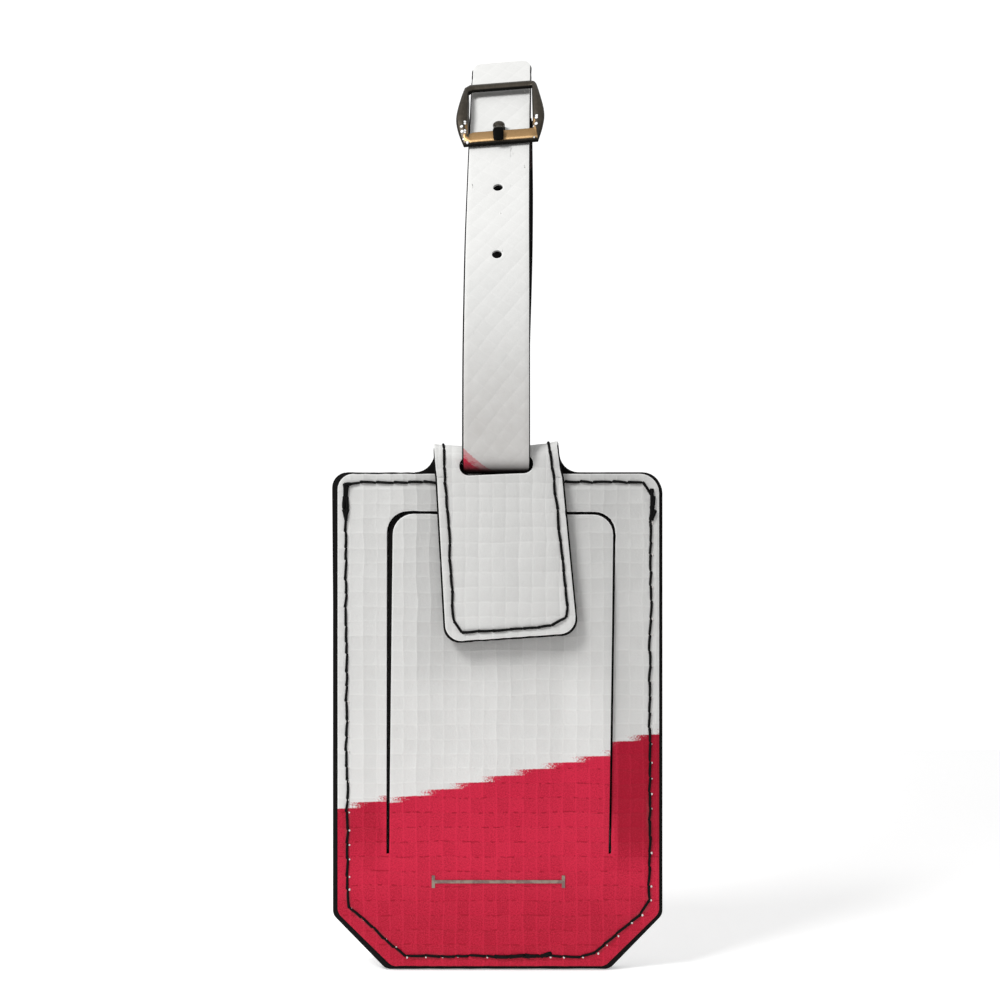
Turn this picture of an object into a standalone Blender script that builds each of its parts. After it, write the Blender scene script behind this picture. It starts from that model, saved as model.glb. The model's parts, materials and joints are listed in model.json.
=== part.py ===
"""A luggage tag: a stitched vinyl card holder with a cut privacy cover, hung by a slot from a buckled strap.

Sizes below are in millimetres, in a drawing frame: X across the tag, Y from front (-) to back (+),
and Z up from the holder's lower edge. Helpers turn them into metres, and the whole assembly hangs
from an empty that puts the centre of the strap's loop at the world's origin.
"""

import math

import bmesh
import bpy
from mathutils import Matrix, Vector

MM = 0.001

# ---------------------------------------------------------------- driving sizes, in millimetres
LOOP_CENTRE = (0.0, 7.3, 147.0)  # the middle of the strap's loop, where a bag's handle passes

# Layers of the holder, as (front face, back face) along Y
FRONT_VINYL = (-3.0, -2.3)
FRONT_LINING = (-2.2, -1.5)
WINDOW = (-1.4, -1.15)
CARD = (-1.0, -0.6)
FOLD_Y = -1.95  # the middle plane of the fold
FOLD_Z = 111.0
VINYL_RADII = (3.05, 2.35)  # outer and inner radius of each layer round the fold
LINING_RADII = (2.25, 1.55)

HOLDER_HALF = 35.0
HOLDER_TOP = 108.0
CHAMFER = (11.8, 11.6)  # across and up
LINING_RIM = 0.8  # how far the lining shows past the front vinyl
SEAM_INSET = 2.2

COVER_HINGE = (-3.0, 25.3)  # Y and Z of the living hinge
# The cover and the hole it is cut from: X of the left and right edges at the hinge and at the top, then Z of the top
COVER_X = ((-24.0, 24.1), (-23.4, 25.2))
COVER_TOP = (99.1, 98.7)
COVER_CORNER = 4.2
OPENING_X = ((-24.3, 24.4), (-24.6, 25.5))
OPENING_TOP = (99.9, 99.7)
OPENING_CORNER = 4.7
CUT_GAP = 0.3  # left where a sheet is divided at a hinge

NECK_LEFT, NECK_RIGHT = -14.1, 12.9
NECK_FILLET = 4.2
TAB_HINGE = (-5.0, 106.5)
TAB_STAND_OFF = math.radians(2.0)
TAB_EDGES = ((-13.72, 106.35), (-11.7, 71.2), (17.4, 73.15), (14.2, 106.35))
TAB_CORNER = 3.5
TAB_INSET = 0.5  # how far the tab's vinyl stops short of its lining

SLOT_Z = (107.85, 111.9)
SLOT_HALF, SLOT_X = 8.0, -0.45

THREAD = 0.18  # radius
THREAD_CLEARANCE = 0.04

WINDOW_OUTLINE = (33.6, 2.6, 104.4)  # half its width, and Z of its foot and top
CARD_HALF, CARD_BOTTOM, CARD_HEIGHT = 25.4, 6.5, 88.9
CARD_CORNER = 0.8
FOIL_Z, FOIL_HALF, FOIL_TICK, FOIL_LINE = (18.9, 19.6), 14.5, 1.0, 0.7

STRAP_HALF = 7.35
STRAP_PLY = 0.6
STRAP_PLY_GAP = 0.1
STRAP_TIP_ROUND = 2.2
FRONT_LEG_Y = -6.55
PIVOT = (FOLD_Y, 112.8)  # Y and Z of the bend that the holder swings on
BEND_RADIUS = PIVOT[0] - FRONT_LEG_Y
ARC_START_Z = 118.0
ARC_RADIUS = 78.0
ARC_TURN = math.radians(36.5)
FREE_LENGTH = 56.8
ARC_END = Vector(
    (
        0,
        FRONT_LEG_Y + ARC_RADIUS * (1 - math.cos(ARC_TURN)),
        ARC_START_Z + ARC_RADIUS * math.sin(ARC_TURN),
    )
)
ALONG = Vector((0, math.sin(ARC_TURN), math.cos(ARC_TURN)))  # up the strap's straight end
OUT = Vector((0, -math.cos(ARC_TURN), math.sin(ARC_TURN)))  # off its outer face
ACROSS = Vector((1, 0, 0))

BUCKLE_AT = 37.3  # the centre bar's place along the straight end
BAR_DEPTH = -4.0  # and below the strap's outer face
BAR_RADIUS = 1.0
PRONG_HOLE_AT = 32.0
PRONG_RADIUS = 0.58
PRONG_FLATNESS = 1.8  # how many times as wide as it is thick
PRONG_RING = (1.55, 0.42)  # major and minor radius
PRONG_ROUTE = (  # its middle line from the ring to its point, as (along the strap, off its face) from the bar
    (-0.5, -2.55),
    (-1.7, -2.45),
    (-3.2, -2.3),
    (-4.4, -1.9),
    (-5.0, -1.3),
    (-5.25, -0.5),
    (-5.3, 0.4),
    (-5.45, 1.3),
    (-5.9, 2.15),
    (-6.8, 2.85),
    (-7.8, 3.15),
    (-8.8, 3.15),
    (-9.8, 2.9),
    (-10.6, 2.65),
    (-11.4, 2.35),
)
PLATE_FACES = (0.85, 2.15)  # the buckle's frame, off the strap's face
ARCH_RISE, ARCH_HALF = 1.2, 9.5
CHEEK_X, CHEEK_THICKNESS = 8.5, 1.2
FRAME_X, PRONG_X = 0.3, -0.1  # the frame and the prong, from the strap's middle line
FREE_HOLES_AT = (12.0, -9.0)
HOLE_RADIUS = 1.1

TWIST = -math.radians(5.5)  # the strap's upper end is turned a little about its own length
TWIST_FROM, TWIST_TO = -35.0, 25.0
DRIFT, DRIFT_FROM, DRIFT_TO = 1.25, -45.0, 57.0
STRAP_X = -0.5  # the strap hangs a little to the left of the holder's middle

COLOURS = {
    "white_vinyl": ((0.72, 0.72, 0.70), 0.45, 0.0),
    "black_lining": ((0.012, 0.012, 0.013), 0.75, 0.0),
    "thread": ((0.01, 0.01, 0.01), 0.8, 0.0),
    "clear_film": ((0.85, 0.88, 0.9), 0.08, 0.0),
    "card_stock": ((0.8, 0.78, 0.72), 0.7, 0.0),
    "foil": ((0.45, 0.4, 0.34), 0.3, 1.0),
    "gunmetal": ((0.09, 0.08, 0.07), 0.3, 1.0),
}


# ---------------------------------------------------------------- scene and materials
def clear_scene():
    for obj in list(bpy.data.objects):
        bpy.data.objects.remove(obj, do_unlink=True)


def new_collection(name):
    collection = bpy.data.collections.new(name)
    bpy.context.scene.collection.children.link(collection)
    return collection


def material(name):
    if name in bpy.data.materials:
        return bpy.data.materials[name]
    colour, roughness, metallic = COLOURS[name]
    made = bpy.data.materials.new(name)
    made.use_nodes = True
    shader = made.node_tree.nodes["Principled BSDF"]
    shader.inputs["Base Color"].default_value = (*colour, 1)
    shader.inputs["Roughness"].default_value = roughness
    shader.inputs["Metallic"].default_value = metallic
    made.diffuse_color = (*colour, 1)
    return made


def own_material(obj, name):
    """Each sub-part has a material of its own, copied from a named finish."""
    finish = material(name).copy()
    finish.name = f"{obj.name}_{name}"
    obj.data.materials.clear()
    obj.data.materials.append(finish)


def place(obj, finish):
    parts.objects.link(obj)
    own_material(obj, finish)
    return obj


def axis_empty(name, position, parent=None):
    """An empty on a joint's axis, for the pieces that turn or slide there."""
    empty = bpy.data.objects.new(name, None)
    empty.empty_display_size = 5 * MM
    empty.location = Vector(position) * MM
    parts.objects.link(empty)
    bpy.context.view_layer.update()
    if parent:
        hang(empty, parent)
    return empty


def hang(obj, parent):
    obj.parent = parent
    obj.matrix_parent_inverse = parent.matrix_world.inverted()
    bpy.context.view_layer.update()


# ---------------------------------------------------------------- outlines
def rounded(corners, steps=5):
    """A polygon's outline from (x, y, corner radius) corners, each turned into an arc."""
    outline = []
    for n, (x, y, radius) in enumerate(corners):
        corner = Vector((x, y))
        if radius == 0:
            outline.append(corner)
            continue
        before = (Vector(corners[n - 1][:2]) - corner).normalized()
        after = (Vector(corners[(n + 1) % len(corners)][:2]) - corner).normalized()
        half = before.angle(after) / 2
        centre = corner + (before + after).normalized() * radius / math.sin(half)
        start = corner + before * radius / math.tan(half) - centre
        end = corner + after * radius / math.tan(half) - centre
        turn = math.remainder(math.atan2(end.y, end.x) - math.atan2(start.y, start.x), math.tau)
        for k in range(steps + 1):
            outline.append(centre + Matrix.Rotation(turn * k / steps, 2) @ start)
    return outline


def smooth(points, steps):
    """A smooth route through points, by Catmull-Rom."""
    ends = [2 * points[0] - points[1], *points, 2 * points[-1] - points[-2]]
    route = []
    for a, b, c, d in zip(ends, ends[1:], ends[2:], ends[3:]):
        for k in range(steps):
            t = k / steps
            route.append(
                0.5
                * (2 * b + (c - a) * t + (2 * a - 5 * b + 4 * c - d) * t**2 + (3 * b - 3 * c + d - a) * t**3)
            )
    return [*route, points[-1]]


# ---------------------------------------------------------------- shapes
def flat_curve(name, outlines, thickness):
    """A flat plate as a filled 2D curve in its own XY plane."""
    curve = bpy.data.curves.new(name, "CURVE")
    curve.dimensions = "2D"
    curve.fill_mode = "BOTH"
    curve.extrude = thickness / 2 * MM
    for outline in outlines:
        spline = curve.splines.new("POLY")
        spline.points.add(len(outline) - 1)
        for point, at in zip(spline.points, outline):
            point.co = (at.x * MM, at.y * MM, 0, 1)
        spline.use_cyclic_u = True
    return bpy.data.objects.new(name, curve)


def plate(name, outlines, faces):
    """A plate standing in the XZ plane between two faces along Y."""
    obj = flat_curve(name, outlines, faces[1] - faces[0])
    obj.rotation_euler.x = math.pi / 2
    obj.location.y = (faces[0] + faces[1]) / 2 * MM
    return obj


def side_plate(name, outline, half_width):
    """A plate standing in the YZ plane, from -half_width to half_width along X."""
    obj = flat_curve(name, [outline], 2 * half_width)
    obj.rotation_euler = (math.pi / 2, 0, math.pi / 2)
    return obj


def as_mesh(obj):
    """The object's evaluated shape as a mesh object in the drawing frame, with its caps welded."""
    scene_objects = bpy.context.scene.collection.objects
    loose = not obj.users_collection
    if loose:
        scene_objects.link(obj)
    bpy.context.view_layer.update()
    graph = bpy.context.evaluated_depsgraph_get()
    mesh = bpy.data.meshes.new_from_object(obj.evaluated_get(graph))
    mesh.transform(obj.matrix_world)
    name = obj.name
    bpy.data.objects.remove(obj, do_unlink=True)
    work = bmesh.new()
    work.from_mesh(mesh)
    bmesh.ops.remove_doubles(work, verts=work.verts, dist=0.002 * MM)
    bmesh.ops.recalc_face_normals(work, faces=work.faces)
    work.to_mesh(mesh)
    work.free()
    return bpy.data.objects.new(name, mesh)


def combine(obj, cutter, operation):
    """A Boolean with a helper that stays hidden among the cutters."""
    cutter.hide_render = True
    cutter.display_type = "WIRE"
    cutters.objects.link(cutter)
    change = obj.modifiers.new(f"{operation.lower()}_{cutter.name}", "BOOLEAN")
    change.operation = operation
    change.object = cutter
    return obj


def thread_along(name, points, closed=False, radius=THREAD):
    """A sewing thread as a thin round tube."""
    curve = bpy.data.curves.new(name, "CURVE")
    curve.dimensions = "3D"
    curve.bevel_depth = radius * MM
    curve.bevel_resolution = 1
    curve.use_fill_caps = True
    spline = curve.splines.new("POLY")
    spline.points.add(len(points) - 1)
    for point, at in zip(spline.points, points):
        point.co = (*(Vector(at) * MM), 1)
    spline.use_cyclic_u = closed
    return place(bpy.data.objects.new(name, curve), "thread")


def cylinder(name, start, end, radius, segments=20):
    """A round bar between two points."""
    start, end = Vector(start) * MM, Vector(end) * MM
    mesh = bpy.data.meshes.new(name)
    work = bmesh.new()
    bmesh.ops.create_cone(
        work,
        cap_ends=True,
        segments=segments,
        radius1=radius * MM,
        radius2=radius * MM,
        depth=(end - start).length,
        matrix=Matrix.Translation((start + end) / 2)
        @ (end - start).to_track_quat("Z", "Y").to_matrix().to_4x4(),
    )
    work.to_mesh(mesh)
    work.free()
    return bpy.data.objects.new(name, mesh)


# ---------------------------------------------------------------- the holder
def holder_corners(rim=0.0, rise=0.0, left_lean=0.0):
    """The holder's outline, grown by rim at its sides and foot and by rise at its top."""
    half, across, up = HOLDER_HALF + rim, CHAMFER[0] - 0.3 * rim, CHAMFER[1] + 0.3 * rim
    low, top = LINING_RIM - rim, HOLDER_TOP + rise
    return [
        (-half + across, low, 2.5),
        (half - across, low, 2.5),
        (half, low + up, 2.5),
        (half, top, 4.2),
        (-half - left_lean, top, 3.4),
        (-half, low + up, 2.5),
    ]


def opening_corners():
    """The hole that the privacy cover is cut from."""
    return arched(OPENING_X, COVER_HINGE[1] - CUT_GAP / 2, OPENING_TOP, OPENING_CORNER)


def cover_corners():
    return arched(COVER_X, COVER_HINGE[1] + CUT_GAP / 2, COVER_TOP, COVER_CORNER)


def arched(sides, low, tops, corner):
    """Four corners, of which the upper two are rounded."""
    (low_left, low_right), (top_left, top_right) = sides
    return [(low_left, low, 0), (low_right, low, 0), (top_right, tops[1], corner), (top_left, tops[0], corner)]


def front_of_holder():
    hole = rounded(opening_corners())
    place(plate("front_panel", [rounded(holder_corners()), hole], FRONT_VINYL), "white_vinyl")
    place(plate("front_lining", [rounded(holder_corners(LINING_RIM)), hole], FRONT_LINING), "black_lining")
    half, low, high = WINDOW_OUTLINE
    foot = half - CHAMFER[0] + 0.7
    window = [
        (-foot, low, 1),
        (foot, low, 1),
        (half, low + half - foot, 1),
        (half, high, 1),
        (-half, high, 1),
        (-half, low + half - foot, 1),
    ]
    place(plate("window_sheet", [rounded(window, 2)], WINDOW), "clear_film")


def privacy_cover():
    outline = rounded(cover_corners())
    place(plate("privacy_cover", [outline], FRONT_VINYL), "white_vinyl")
    place(plate("cover_lining", [outline], FRONT_LINING), "black_lining")


def card():
    top = CARD_BOTTOM + CARD_HEIGHT
    corners = [
        (-CARD_HALF, CARD_BOTTOM, CARD_CORNER),
        (CARD_HALF, CARD_BOTTOM, CARD_CORNER),
        (CARD_HALF, top, CARD_CORNER),
        (-CARD_HALF, top, CARD_CORNER),
    ]
    place(plate("id_card", [rounded(corners, 2)], CARD), "card_stock")


def foil_mark():
    """A plain foil bar below the cover, with a short tick at each end."""
    low, high = FOIL_Z
    inner = FOIL_HALF - FOIL_LINE
    right_end = [(inner, low), (inner, low - FOIL_TICK), (FOIL_HALF, low - FOIL_TICK)]
    right_end += [(FOIL_HALF, high + FOIL_TICK), (inner, high + FOIL_TICK), (inner, high)]
    left_end = [(-x, z) for x, z in reversed(right_end)]
    outline = [(x, z, 0) for x, z in [*right_end, *left_end]]
    front = FRONT_VINYL[0]
    place(plate("foil_mark", [rounded(outline)], (front - 0.15, front - 0.05)), "foil")


# ---------------------------------------------------------------- the back, its fold and its slots
def hook_profile(radii, steps=12):
    """The side view of a sheet that rises up the back, folds over and ends at the tab's hinge."""
    outer, inner = radii
    foot, end = -2, TAB_HINGE[1] + CUT_GAP / 2
    turns = [math.pi * k / steps for k in range(steps + 1)]

    def around(radius, angles):
        return [Vector((FOLD_Y + radius * math.cos(a), FOLD_Z + radius * math.sin(a))) for a in angles]

    return [
        Vector((FOLD_Y + outer, foot)),
        *around(outer, turns),
        Vector((FOLD_Y - outer, end)),
        Vector((FOLD_Y - inner, end)),
        *around(inner, reversed(turns)),
        Vector((FOLD_Y + inner, foot)),
    ]


def back_corners():
    """The back's outline: the holder's, with the neck that rises into the fold."""
    low_left, low_right, right, top_right, top_left, left = holder_corners(LINING_RIM, 0.4, 0.7)
    shoulder = top_right[1]
    return [
        low_left,
        low_right,
        right,
        top_right,
        (NECK_RIGHT + 0.9, shoulder, NECK_FILLET),
        (NECK_RIGHT, 117, 0),
        (NECK_LEFT, 117, 0),
        (NECK_LEFT, shoulder, NECK_FILLET),
        top_left,
        left,
    ]


def tab_edge_x(side, z):
    """The tab's left (0) or right (1) edge at a height."""
    low, high = (TAB_EDGES[1], TAB_EDGES[0]) if side == 0 else (TAB_EDGES[2], TAB_EDGES[3])
    return low[0] + (high[0] - low[0]) * (z - low[1]) / (high[1] - low[1])


def folded_sheet(name, radii, finish):
    """The back, cut to its outline, trimmed where the fold comes down the front, and slotted."""
    sheet = place(as_mesh(side_plate(name, hook_profile(radii), HOLDER_HALF + 4)), finish)
    outline = as_mesh(plate(f"{name}_outline", [rounded(back_corners())], (-9, 9)))
    combine(sheet, outline, "INTERSECT")
    for side, far in ((0, -45), (1, 45)):
        bottom, top = tab_edge_x(side, 100), tab_edge_x(side, FOLD_Z + 1)
        corners = [(bottom, 100, 0), (far, 100, 0), (far, 120, 0), (top, 120, 0), (top, FOLD_Z + 1, 0)]
        trim = as_mesh(plate(f"{name}_trim_{side}", [rounded(corners)], (-9, FOLD_Y)))
        combine(sheet, trim, "DIFFERENCE")
    low, high = SLOT_Z
    round_end = (high - low) / 2 - 0.01
    left, right = SLOT_X - SLOT_HALF, SLOT_X + SLOT_HALF
    slot = [(left, low, round_end), (right, low, round_end), (right, high, round_end), (left, high, round_end)]
    combine(sheet, as_mesh(plate(f"{name}_slot", [rounded(slot)], (-9, 9))), "DIFFERENCE")
    return sheet


# ---------------------------------------------------------------- the tab
def tab():
    lining = (FOLD_Y - LINING_RADII[0], FOLD_Y - LINING_RADII[1])
    vinyl = (FOLD_Y - VINYL_RADII[0], FOLD_Y - VINYL_RADII[1])
    top_left, low_left, low_right, top_right = TAB_EDGES
    outline = [(*top_left, 0), (*low_left, TAB_CORNER), (*low_right, TAB_CORNER), (*top_right, 0)]
    place(plate("tab_lining", [rounded(outline)], lining), "black_lining")
    place(plate("tab_face", [rounded(inset_tab(TAB_INSET, TAB_CORNER))], vinyl), "white_vinyl")


def inset_tab(inset, corner):
    """The tab's outline moved in from its two sides and its lower edge."""
    top_left, low_left, low_right, top_right = TAB_EDGES
    return [
        (top_left[0] + inset, top_left[1], 0),
        (low_left[0] + inset, low_left[1] + inset, corner),
        (low_right[0] - inset, low_right[1] + inset, corner),
        (top_right[0] - inset, top_right[1], 0),
    ]


# ---------------------------------------------------------------- the seams
def seams():
    """The lockstitch seams: the needle thread on one face of a sheet and the bobbin thread on the other."""
    off = THREAD + THREAD_CLEARANCE
    front, back = FRONT_VINYL[0] - off, FOLD_Y + VINYL_RADII[0] + off
    inside = FRONT_LINING[1] + off
    loop = [(x, z, max(radius - 1, 1.2)) for x, z, radius in holder_corners(-SEAM_INSET, -SEAM_INSET)]
    ring = rounded(loop, 3)
    thread_along("edge_thread_front", [(p.x, front, p.y) for p in ring], closed=True)

    low_left, low_right, right, top_right, top_left, left = loop
    open_ring = rounded([(top_left[0], top_left[1], 0), left, low_left, low_right, right, (*top_right[:2], 0)], 3)
    thread_along("edge_thread_back", [(p.x, back, p.y) for p in open_ring])
    mouth = top_left[0] + 1, top_right[0] - 1
    thread_along("mouth_thread", [(mouth[0], inside, top_left[1]), (mouth[1], inside, top_left[1])])

    tab_front = FOLD_Y - VINYL_RADII[0] - off
    tab_back = FOLD_Y - LINING_RADII[1] + off
    seam = inset_tab(SEAM_INSET, 2.4)
    needle = rounded(seam, 3)
    thread_along("tab_thread_front", [(p.x, tab_front, min(p.y, TAB_EDGES[0][1] - 0.1)) for p in needle])
    bobbin = [(seam[0][0], 104.4, 0), seam[1], seam[2], (seam[3][0], 104.4, 0)]
    thread_along("tab_thread_back", [(p.x, tab_back, p.y) for p in rounded(bobbin, 3)])

    around = VINYL_RADII[0] + off
    for side, name, inset in ((0, "neck_thread_left", SEAM_INSET), (1, "neck_thread_right", -SEAM_INSET)):
        x = tab_edge_x(side, 109) + inset
        route = [(tab_edge_x(side, 106.7) + inset, FOLD_Y - around, 106.75)]
        for k in range(13):
            angle = math.pi * (1 - k / 12)
            route.append((x, FOLD_Y + around * math.cos(angle), FOLD_Z + around * math.sin(angle)))
        route.append((x, FOLD_Y + around, 107.6))
        thread_along(name, route)


# ---------------------------------------------------------------- the strap
def on_straight(along, out=0.0, across=0.0):
    """A point by its place along the strap's straight end, off its outer face, and across it."""
    return ARC_END + ALONG * along + OUT * out + ACROSS * across


BAR = on_straight(BUCKLE_AT, BAR_DEPTH)
REAR_LEG_HEADING = Vector((0, 0.432, 0.902))  # of the rear leg where it reaches the buckle
TAIL = ((2.2, 1.9), (4.2, 1.1), (6.2, 0.6), (8.5, 0.46), (13.0, 0.46))  # below the bar, and in front of it


def strap_route():
    """The strap's outer face in side view, from its tip to the end of the stitched tail."""
    tip_steps = (0, 0.12, 0.45, 1.0, STRAP_TIP_ROUND, 8, 14)
    route = [on_straight(FREE_LENGTH - step) for step in tip_steps]
    route += [on_straight(at) for at in (37, 32, 26, 20, 14, 7)]
    for k in range(9):
        angle = ARC_TURN * (1 - k / 8)
        drop = ARC_RADIUS * (1 - math.cos(angle))
        route.append(Vector((0, FRONT_LEG_Y + drop, ARC_START_Z + ARC_RADIUS * math.sin(angle))))
    for k in range(15):
        angle = math.pi + math.pi * k / 14
        spoke = Vector((0, math.cos(angle), math.sin(angle))) * BEND_RADIUS
        route.append(Vector((0, *PIVOT)) + spoke)
    start, end = math.radians(-30), math.radians(154)
    wrap = BAR_RADIUS + 0.1 + 2 * STRAP_PLY + STRAP_PLY_GAP
    rear = [(2.65, 112.8), (3.1, 118), (7.5, 129.7), (13.0, 141.7), (18.5, 153.7), (24.0, 165.7), (29.5, 176.7)]
    knots = [Vector((0, y, z)) for y, z in rear]
    knots.append(BAR + Vector((0, math.cos(start), math.sin(start))) * wrap)
    route += smooth(knots, 4)[1:-1]
    for k in range(15):
        angle = start + (end - start) * k / 14
        route.append(BAR + Vector((0, math.cos(angle), math.sin(angle))) * wrap)
    down, forward = -REAR_LEG_HEADING, Vector((0, -REAR_LEG_HEADING.z, REAR_LEG_HEADING.y))
    route += [BAR + down * below + forward * off for below, off in TAIL]
    return route


def side_normals(route):
    """The unit normal off the outer face at each point of a side-view route."""
    normals = []
    for n in range(len(route)):
        before, after = route[max(n - 1, 0)], route[min(n + 1, len(route) - 1)]
        heading = (after - before).normalized()
        normals.append(Vector((0, heading.z, -heading.y)))
    return normals


def strap_half_width(route, n):
    """Half the strap's width at a point of its route, less where its tip is rounded."""
    from_tip = (route[n] - route[0]).length
    if from_tip >= STRAP_TIP_ROUND:
        return STRAP_HALF
    rise = STRAP_TIP_ROUND - from_tip
    return STRAP_HALF - STRAP_TIP_ROUND + math.sqrt(STRAP_TIP_ROUND**2 - rise**2)


def settled(point):
    """Where a point of the straight-hung strap lies once the strap has its slight twist and drift."""
    height = (point - ARC_END).dot(ALONG)
    share = min(max((height - TWIST_FROM) / (TWIST_TO - TWIST_FROM), 0), 1)
    turn = TWIST * share**2 * (3 - 2 * share)
    offset = Matrix.Rotation(turn, 3, ALONG) @ (point - ARC_END - ALONG * height)
    drift = STRAP_X + DRIFT * (max(height - DRIFT_FROM, 0) / (DRIFT_TO - DRIFT_FROM)) ** 2
    return ARC_END + ALONG * height + offset + ACROSS * drift


def settle_mesh(obj):
    for vertex in obj.data.vertices:
        vertex.co = settled(vertex.co / MM) * MM
    return obj


def buckle_settling():
    """The rigid move that takes the buckle, drawn straight, to where the twisted strap holds it."""
    turn = Matrix.Rotation(TWIST, 4, ALONG)
    centre = on_straight(BUCKLE_AT)
    return Matrix.Translation(settled(centre)) @ turn @ Matrix.Translation(-centre)


def strap_ply(name, depth, finish):
    """One ply of the strap: an open strip along the route, given its thickness by Solidify."""
    route = strap_route()
    normals = side_normals(route)
    work = bmesh.new()
    rows = []
    for n, (point, normal) in enumerate(zip(route, normals)):
        half = strap_half_width(route, n)
        surface = (point - normal * depth) * MM
        rows.append([work.verts.new(surface + ACROSS * side * half * MM) for side in (-1, 1)])
    for above, below in zip(rows, rows[1:]):
        work.faces.new((above[0], below[0], below[1], above[1]))
    mesh = bpy.data.meshes.new(name)
    work.to_mesh(mesh)
    work.free()
    ply = bpy.data.objects.new(name, mesh)
    place(ply, finish)
    shell = ply.modifiers.new("thickness", "SOLIDIFY")
    shell.thickness = STRAP_PLY * MM
    shell.offset = -1
    shell.use_even_offset = True
    for k, at in enumerate(FREE_HOLES_AT):
        hole = cylinder(f"{name}_hole_{k}", on_hole(at, 4), on_hole(at, -2.4), HOLE_RADIUS, 16)
        combine(ply, hole, "DIFFERENCE")
    combine(ply, prong_hole(name), "DIFFERENCE")
    combine(ply, prong_slot(name), "DIFFERENCE")
    return ply


def on_hole(at, out):
    """A point off the strap's outer face at a hole, which may lie on the arc below the straight end."""
    if at >= 0:
        return on_straight(at, out)
    angle = ARC_TURN + at / ARC_RADIUS
    centre = Vector((0, FRONT_LEG_Y + ARC_RADIUS, ARC_START_Z))
    return centre + Vector((0, -math.cos(angle), math.sin(angle))) * (ARC_RADIUS + out)


def prong_hole(name):
    """A hole stretched along the strap by the prong."""
    half_long, half_wide = 1.5, 1.35
    corners = [
        (-half_wide, -half_long, half_wide - 0.05),
        (half_wide, -half_long, half_wide - 0.05),
        (half_wide, half_long, half_wide - 0.05),
        (-half_wide, half_long, half_wide - 0.05),
    ]
    hole = flat_curve(f"{name}_prong_hole", [rounded(corners)], 3.4)
    hole.matrix_world = buckle_frame_matrix(on_straight(PRONG_HOLE_AT, 0.4))
    return as_mesh(hole)


def prong_slot(name):
    """The oblong slot in the wrapped end, where the prong's ring turns on the bar."""
    below, above, behind, before, half_wide = -4.2, 2.65, -3.4, 2.6, 1.6
    corners = [(-half_wide, below, 1.0), (half_wide, below, 1.0), (half_wide, above, 0), (-half_wide, above, 0)]
    slot = flat_curve(f"{name}_prong_slot", [rounded(corners)], before - behind)
    slot.matrix_world = buckle_frame_matrix(BAR + OUT * (before + behind) / 2)
    return as_mesh(slot)


def buckle_frame_matrix(centre):
    """Local X across the strap, Y along it and Z off its outer face, at a point in millimetres."""
    axes = Matrix((ACROSS, ALONG, OUT)).transposed().to_4x4()
    return Matrix.Translation(centre * MM) @ axes


def tail_thread():
    """The stitched box that holds the strap's tail to its rear leg."""
    low, high, half, off = -11.0, -6.2, 5.2, THREAD + THREAD_CLEARANCE
    outward = Vector((0, REAR_LEG_HEADING.z, -REAR_LEG_HEADING.y))
    centre = BAR + outward * (2.45 + off)
    corners = rounded([(-half, low, 0.5), (half, low, 0.5), (half, high, 0.5), (-half, high, 0.5)], 2)
    return [settled(centre + REAR_LEG_HEADING * p.y + ACROSS * p.x) for p in corners]


def strap():
    for name, depth, finish in (
        ("strap_face", 0.0, "white_vinyl"),
        ("strap_lining", STRAP_PLY + STRAP_PLY_GAP, "black_lining"),
    ):
        ply = strap_ply(name, depth, finish)
        drawn = as_mesh(ply)
        settle_mesh(drawn)
        place(drawn, finish)
    thread_along("strap_tail_thread", tail_thread(), closed=True)


# ---------------------------------------------------------------- the buckle
def buckle_outline():
    """The frame's outer shape in its own plane: X across the strap, Y along it."""
    side = [Vector((8.2, 8.9)), Vector((9.4, 3.4)), Vector((10.45, -3.2)), Vector((10.0, -7.2)), Vector((8.5, -11.2))]
    right = smooth(side, 3)
    left = [Vector((-p.x, p.y)) for p in reversed(right)]
    return [*right, *left]


def arch(along):
    """How far the frame's middle is bowed off the strap at a place along it."""
    return ARCH_RISE * (1 - (along / ARCH_HALF) ** 2)


def buckle():
    window = rounded([(-7.7, -8.4, 0.7), (7.7, -8.4, 0.7), (7.6, 6.8, 0.7), (-7.6, 6.8, 0.7)], 3)
    frame = flat_curve("buckle_plate", [buckle_outline(), window], PLATE_FACES[1] - PLATE_FACES[0])
    frame.location.z = sum(PLATE_FACES) / 2 * MM
    frame = as_mesh(frame)
    frame.name = "buckle_frame"
    slice_across(frame)
    for vertex in frame.data.vertices:
        vertex.co.z += arch(vertex.co.y / MM) * MM
    place(frame, "gunmetal")
    for side in (-1, 1):
        cheek = rounded([(-3.0, 2.4, 0), (-1.9, -5.9, 1.7), (1.9, -5.9, 1.7), (3.0, 2.4, 0)], 6)
        lug = flat_curve(f"buckle_cheek_{side}", [cheek], CHEEK_THICKNESS)
        lug.rotation_euler = (math.pi / 2, 0, math.pi / 2)
        lug.location.x = side * CHEEK_X * MM
        combine(frame, as_mesh(lug), "UNION")
    bore = cylinder("buckle_bore", (-12, 0, BAR_DEPTH), (12, 0, BAR_DEPTH), BAR_RADIUS + 0.1)
    combine(frame, bore, "DIFFERENCE")
    frame = as_mesh(frame)
    centre_bar = cylinder("buckle_centre_bar", (-9.1, 0, BAR_DEPTH), (9.1, 0, BAR_DEPTH), BAR_RADIUS)
    world = Matrix.Scale(MM, 4) @ buckle_settling() @ Matrix.Scale(1 / MM, 4)
    for piece, aside in ((frame, FRAME_X), (centre_bar, FRAME_X), (prong(), PRONG_X)):
        piece.data.transform(world @ buckle_frame_matrix(on_straight(BUCKLE_AT) + ACROSS * aside))
        place(piece, "gunmetal")


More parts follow.
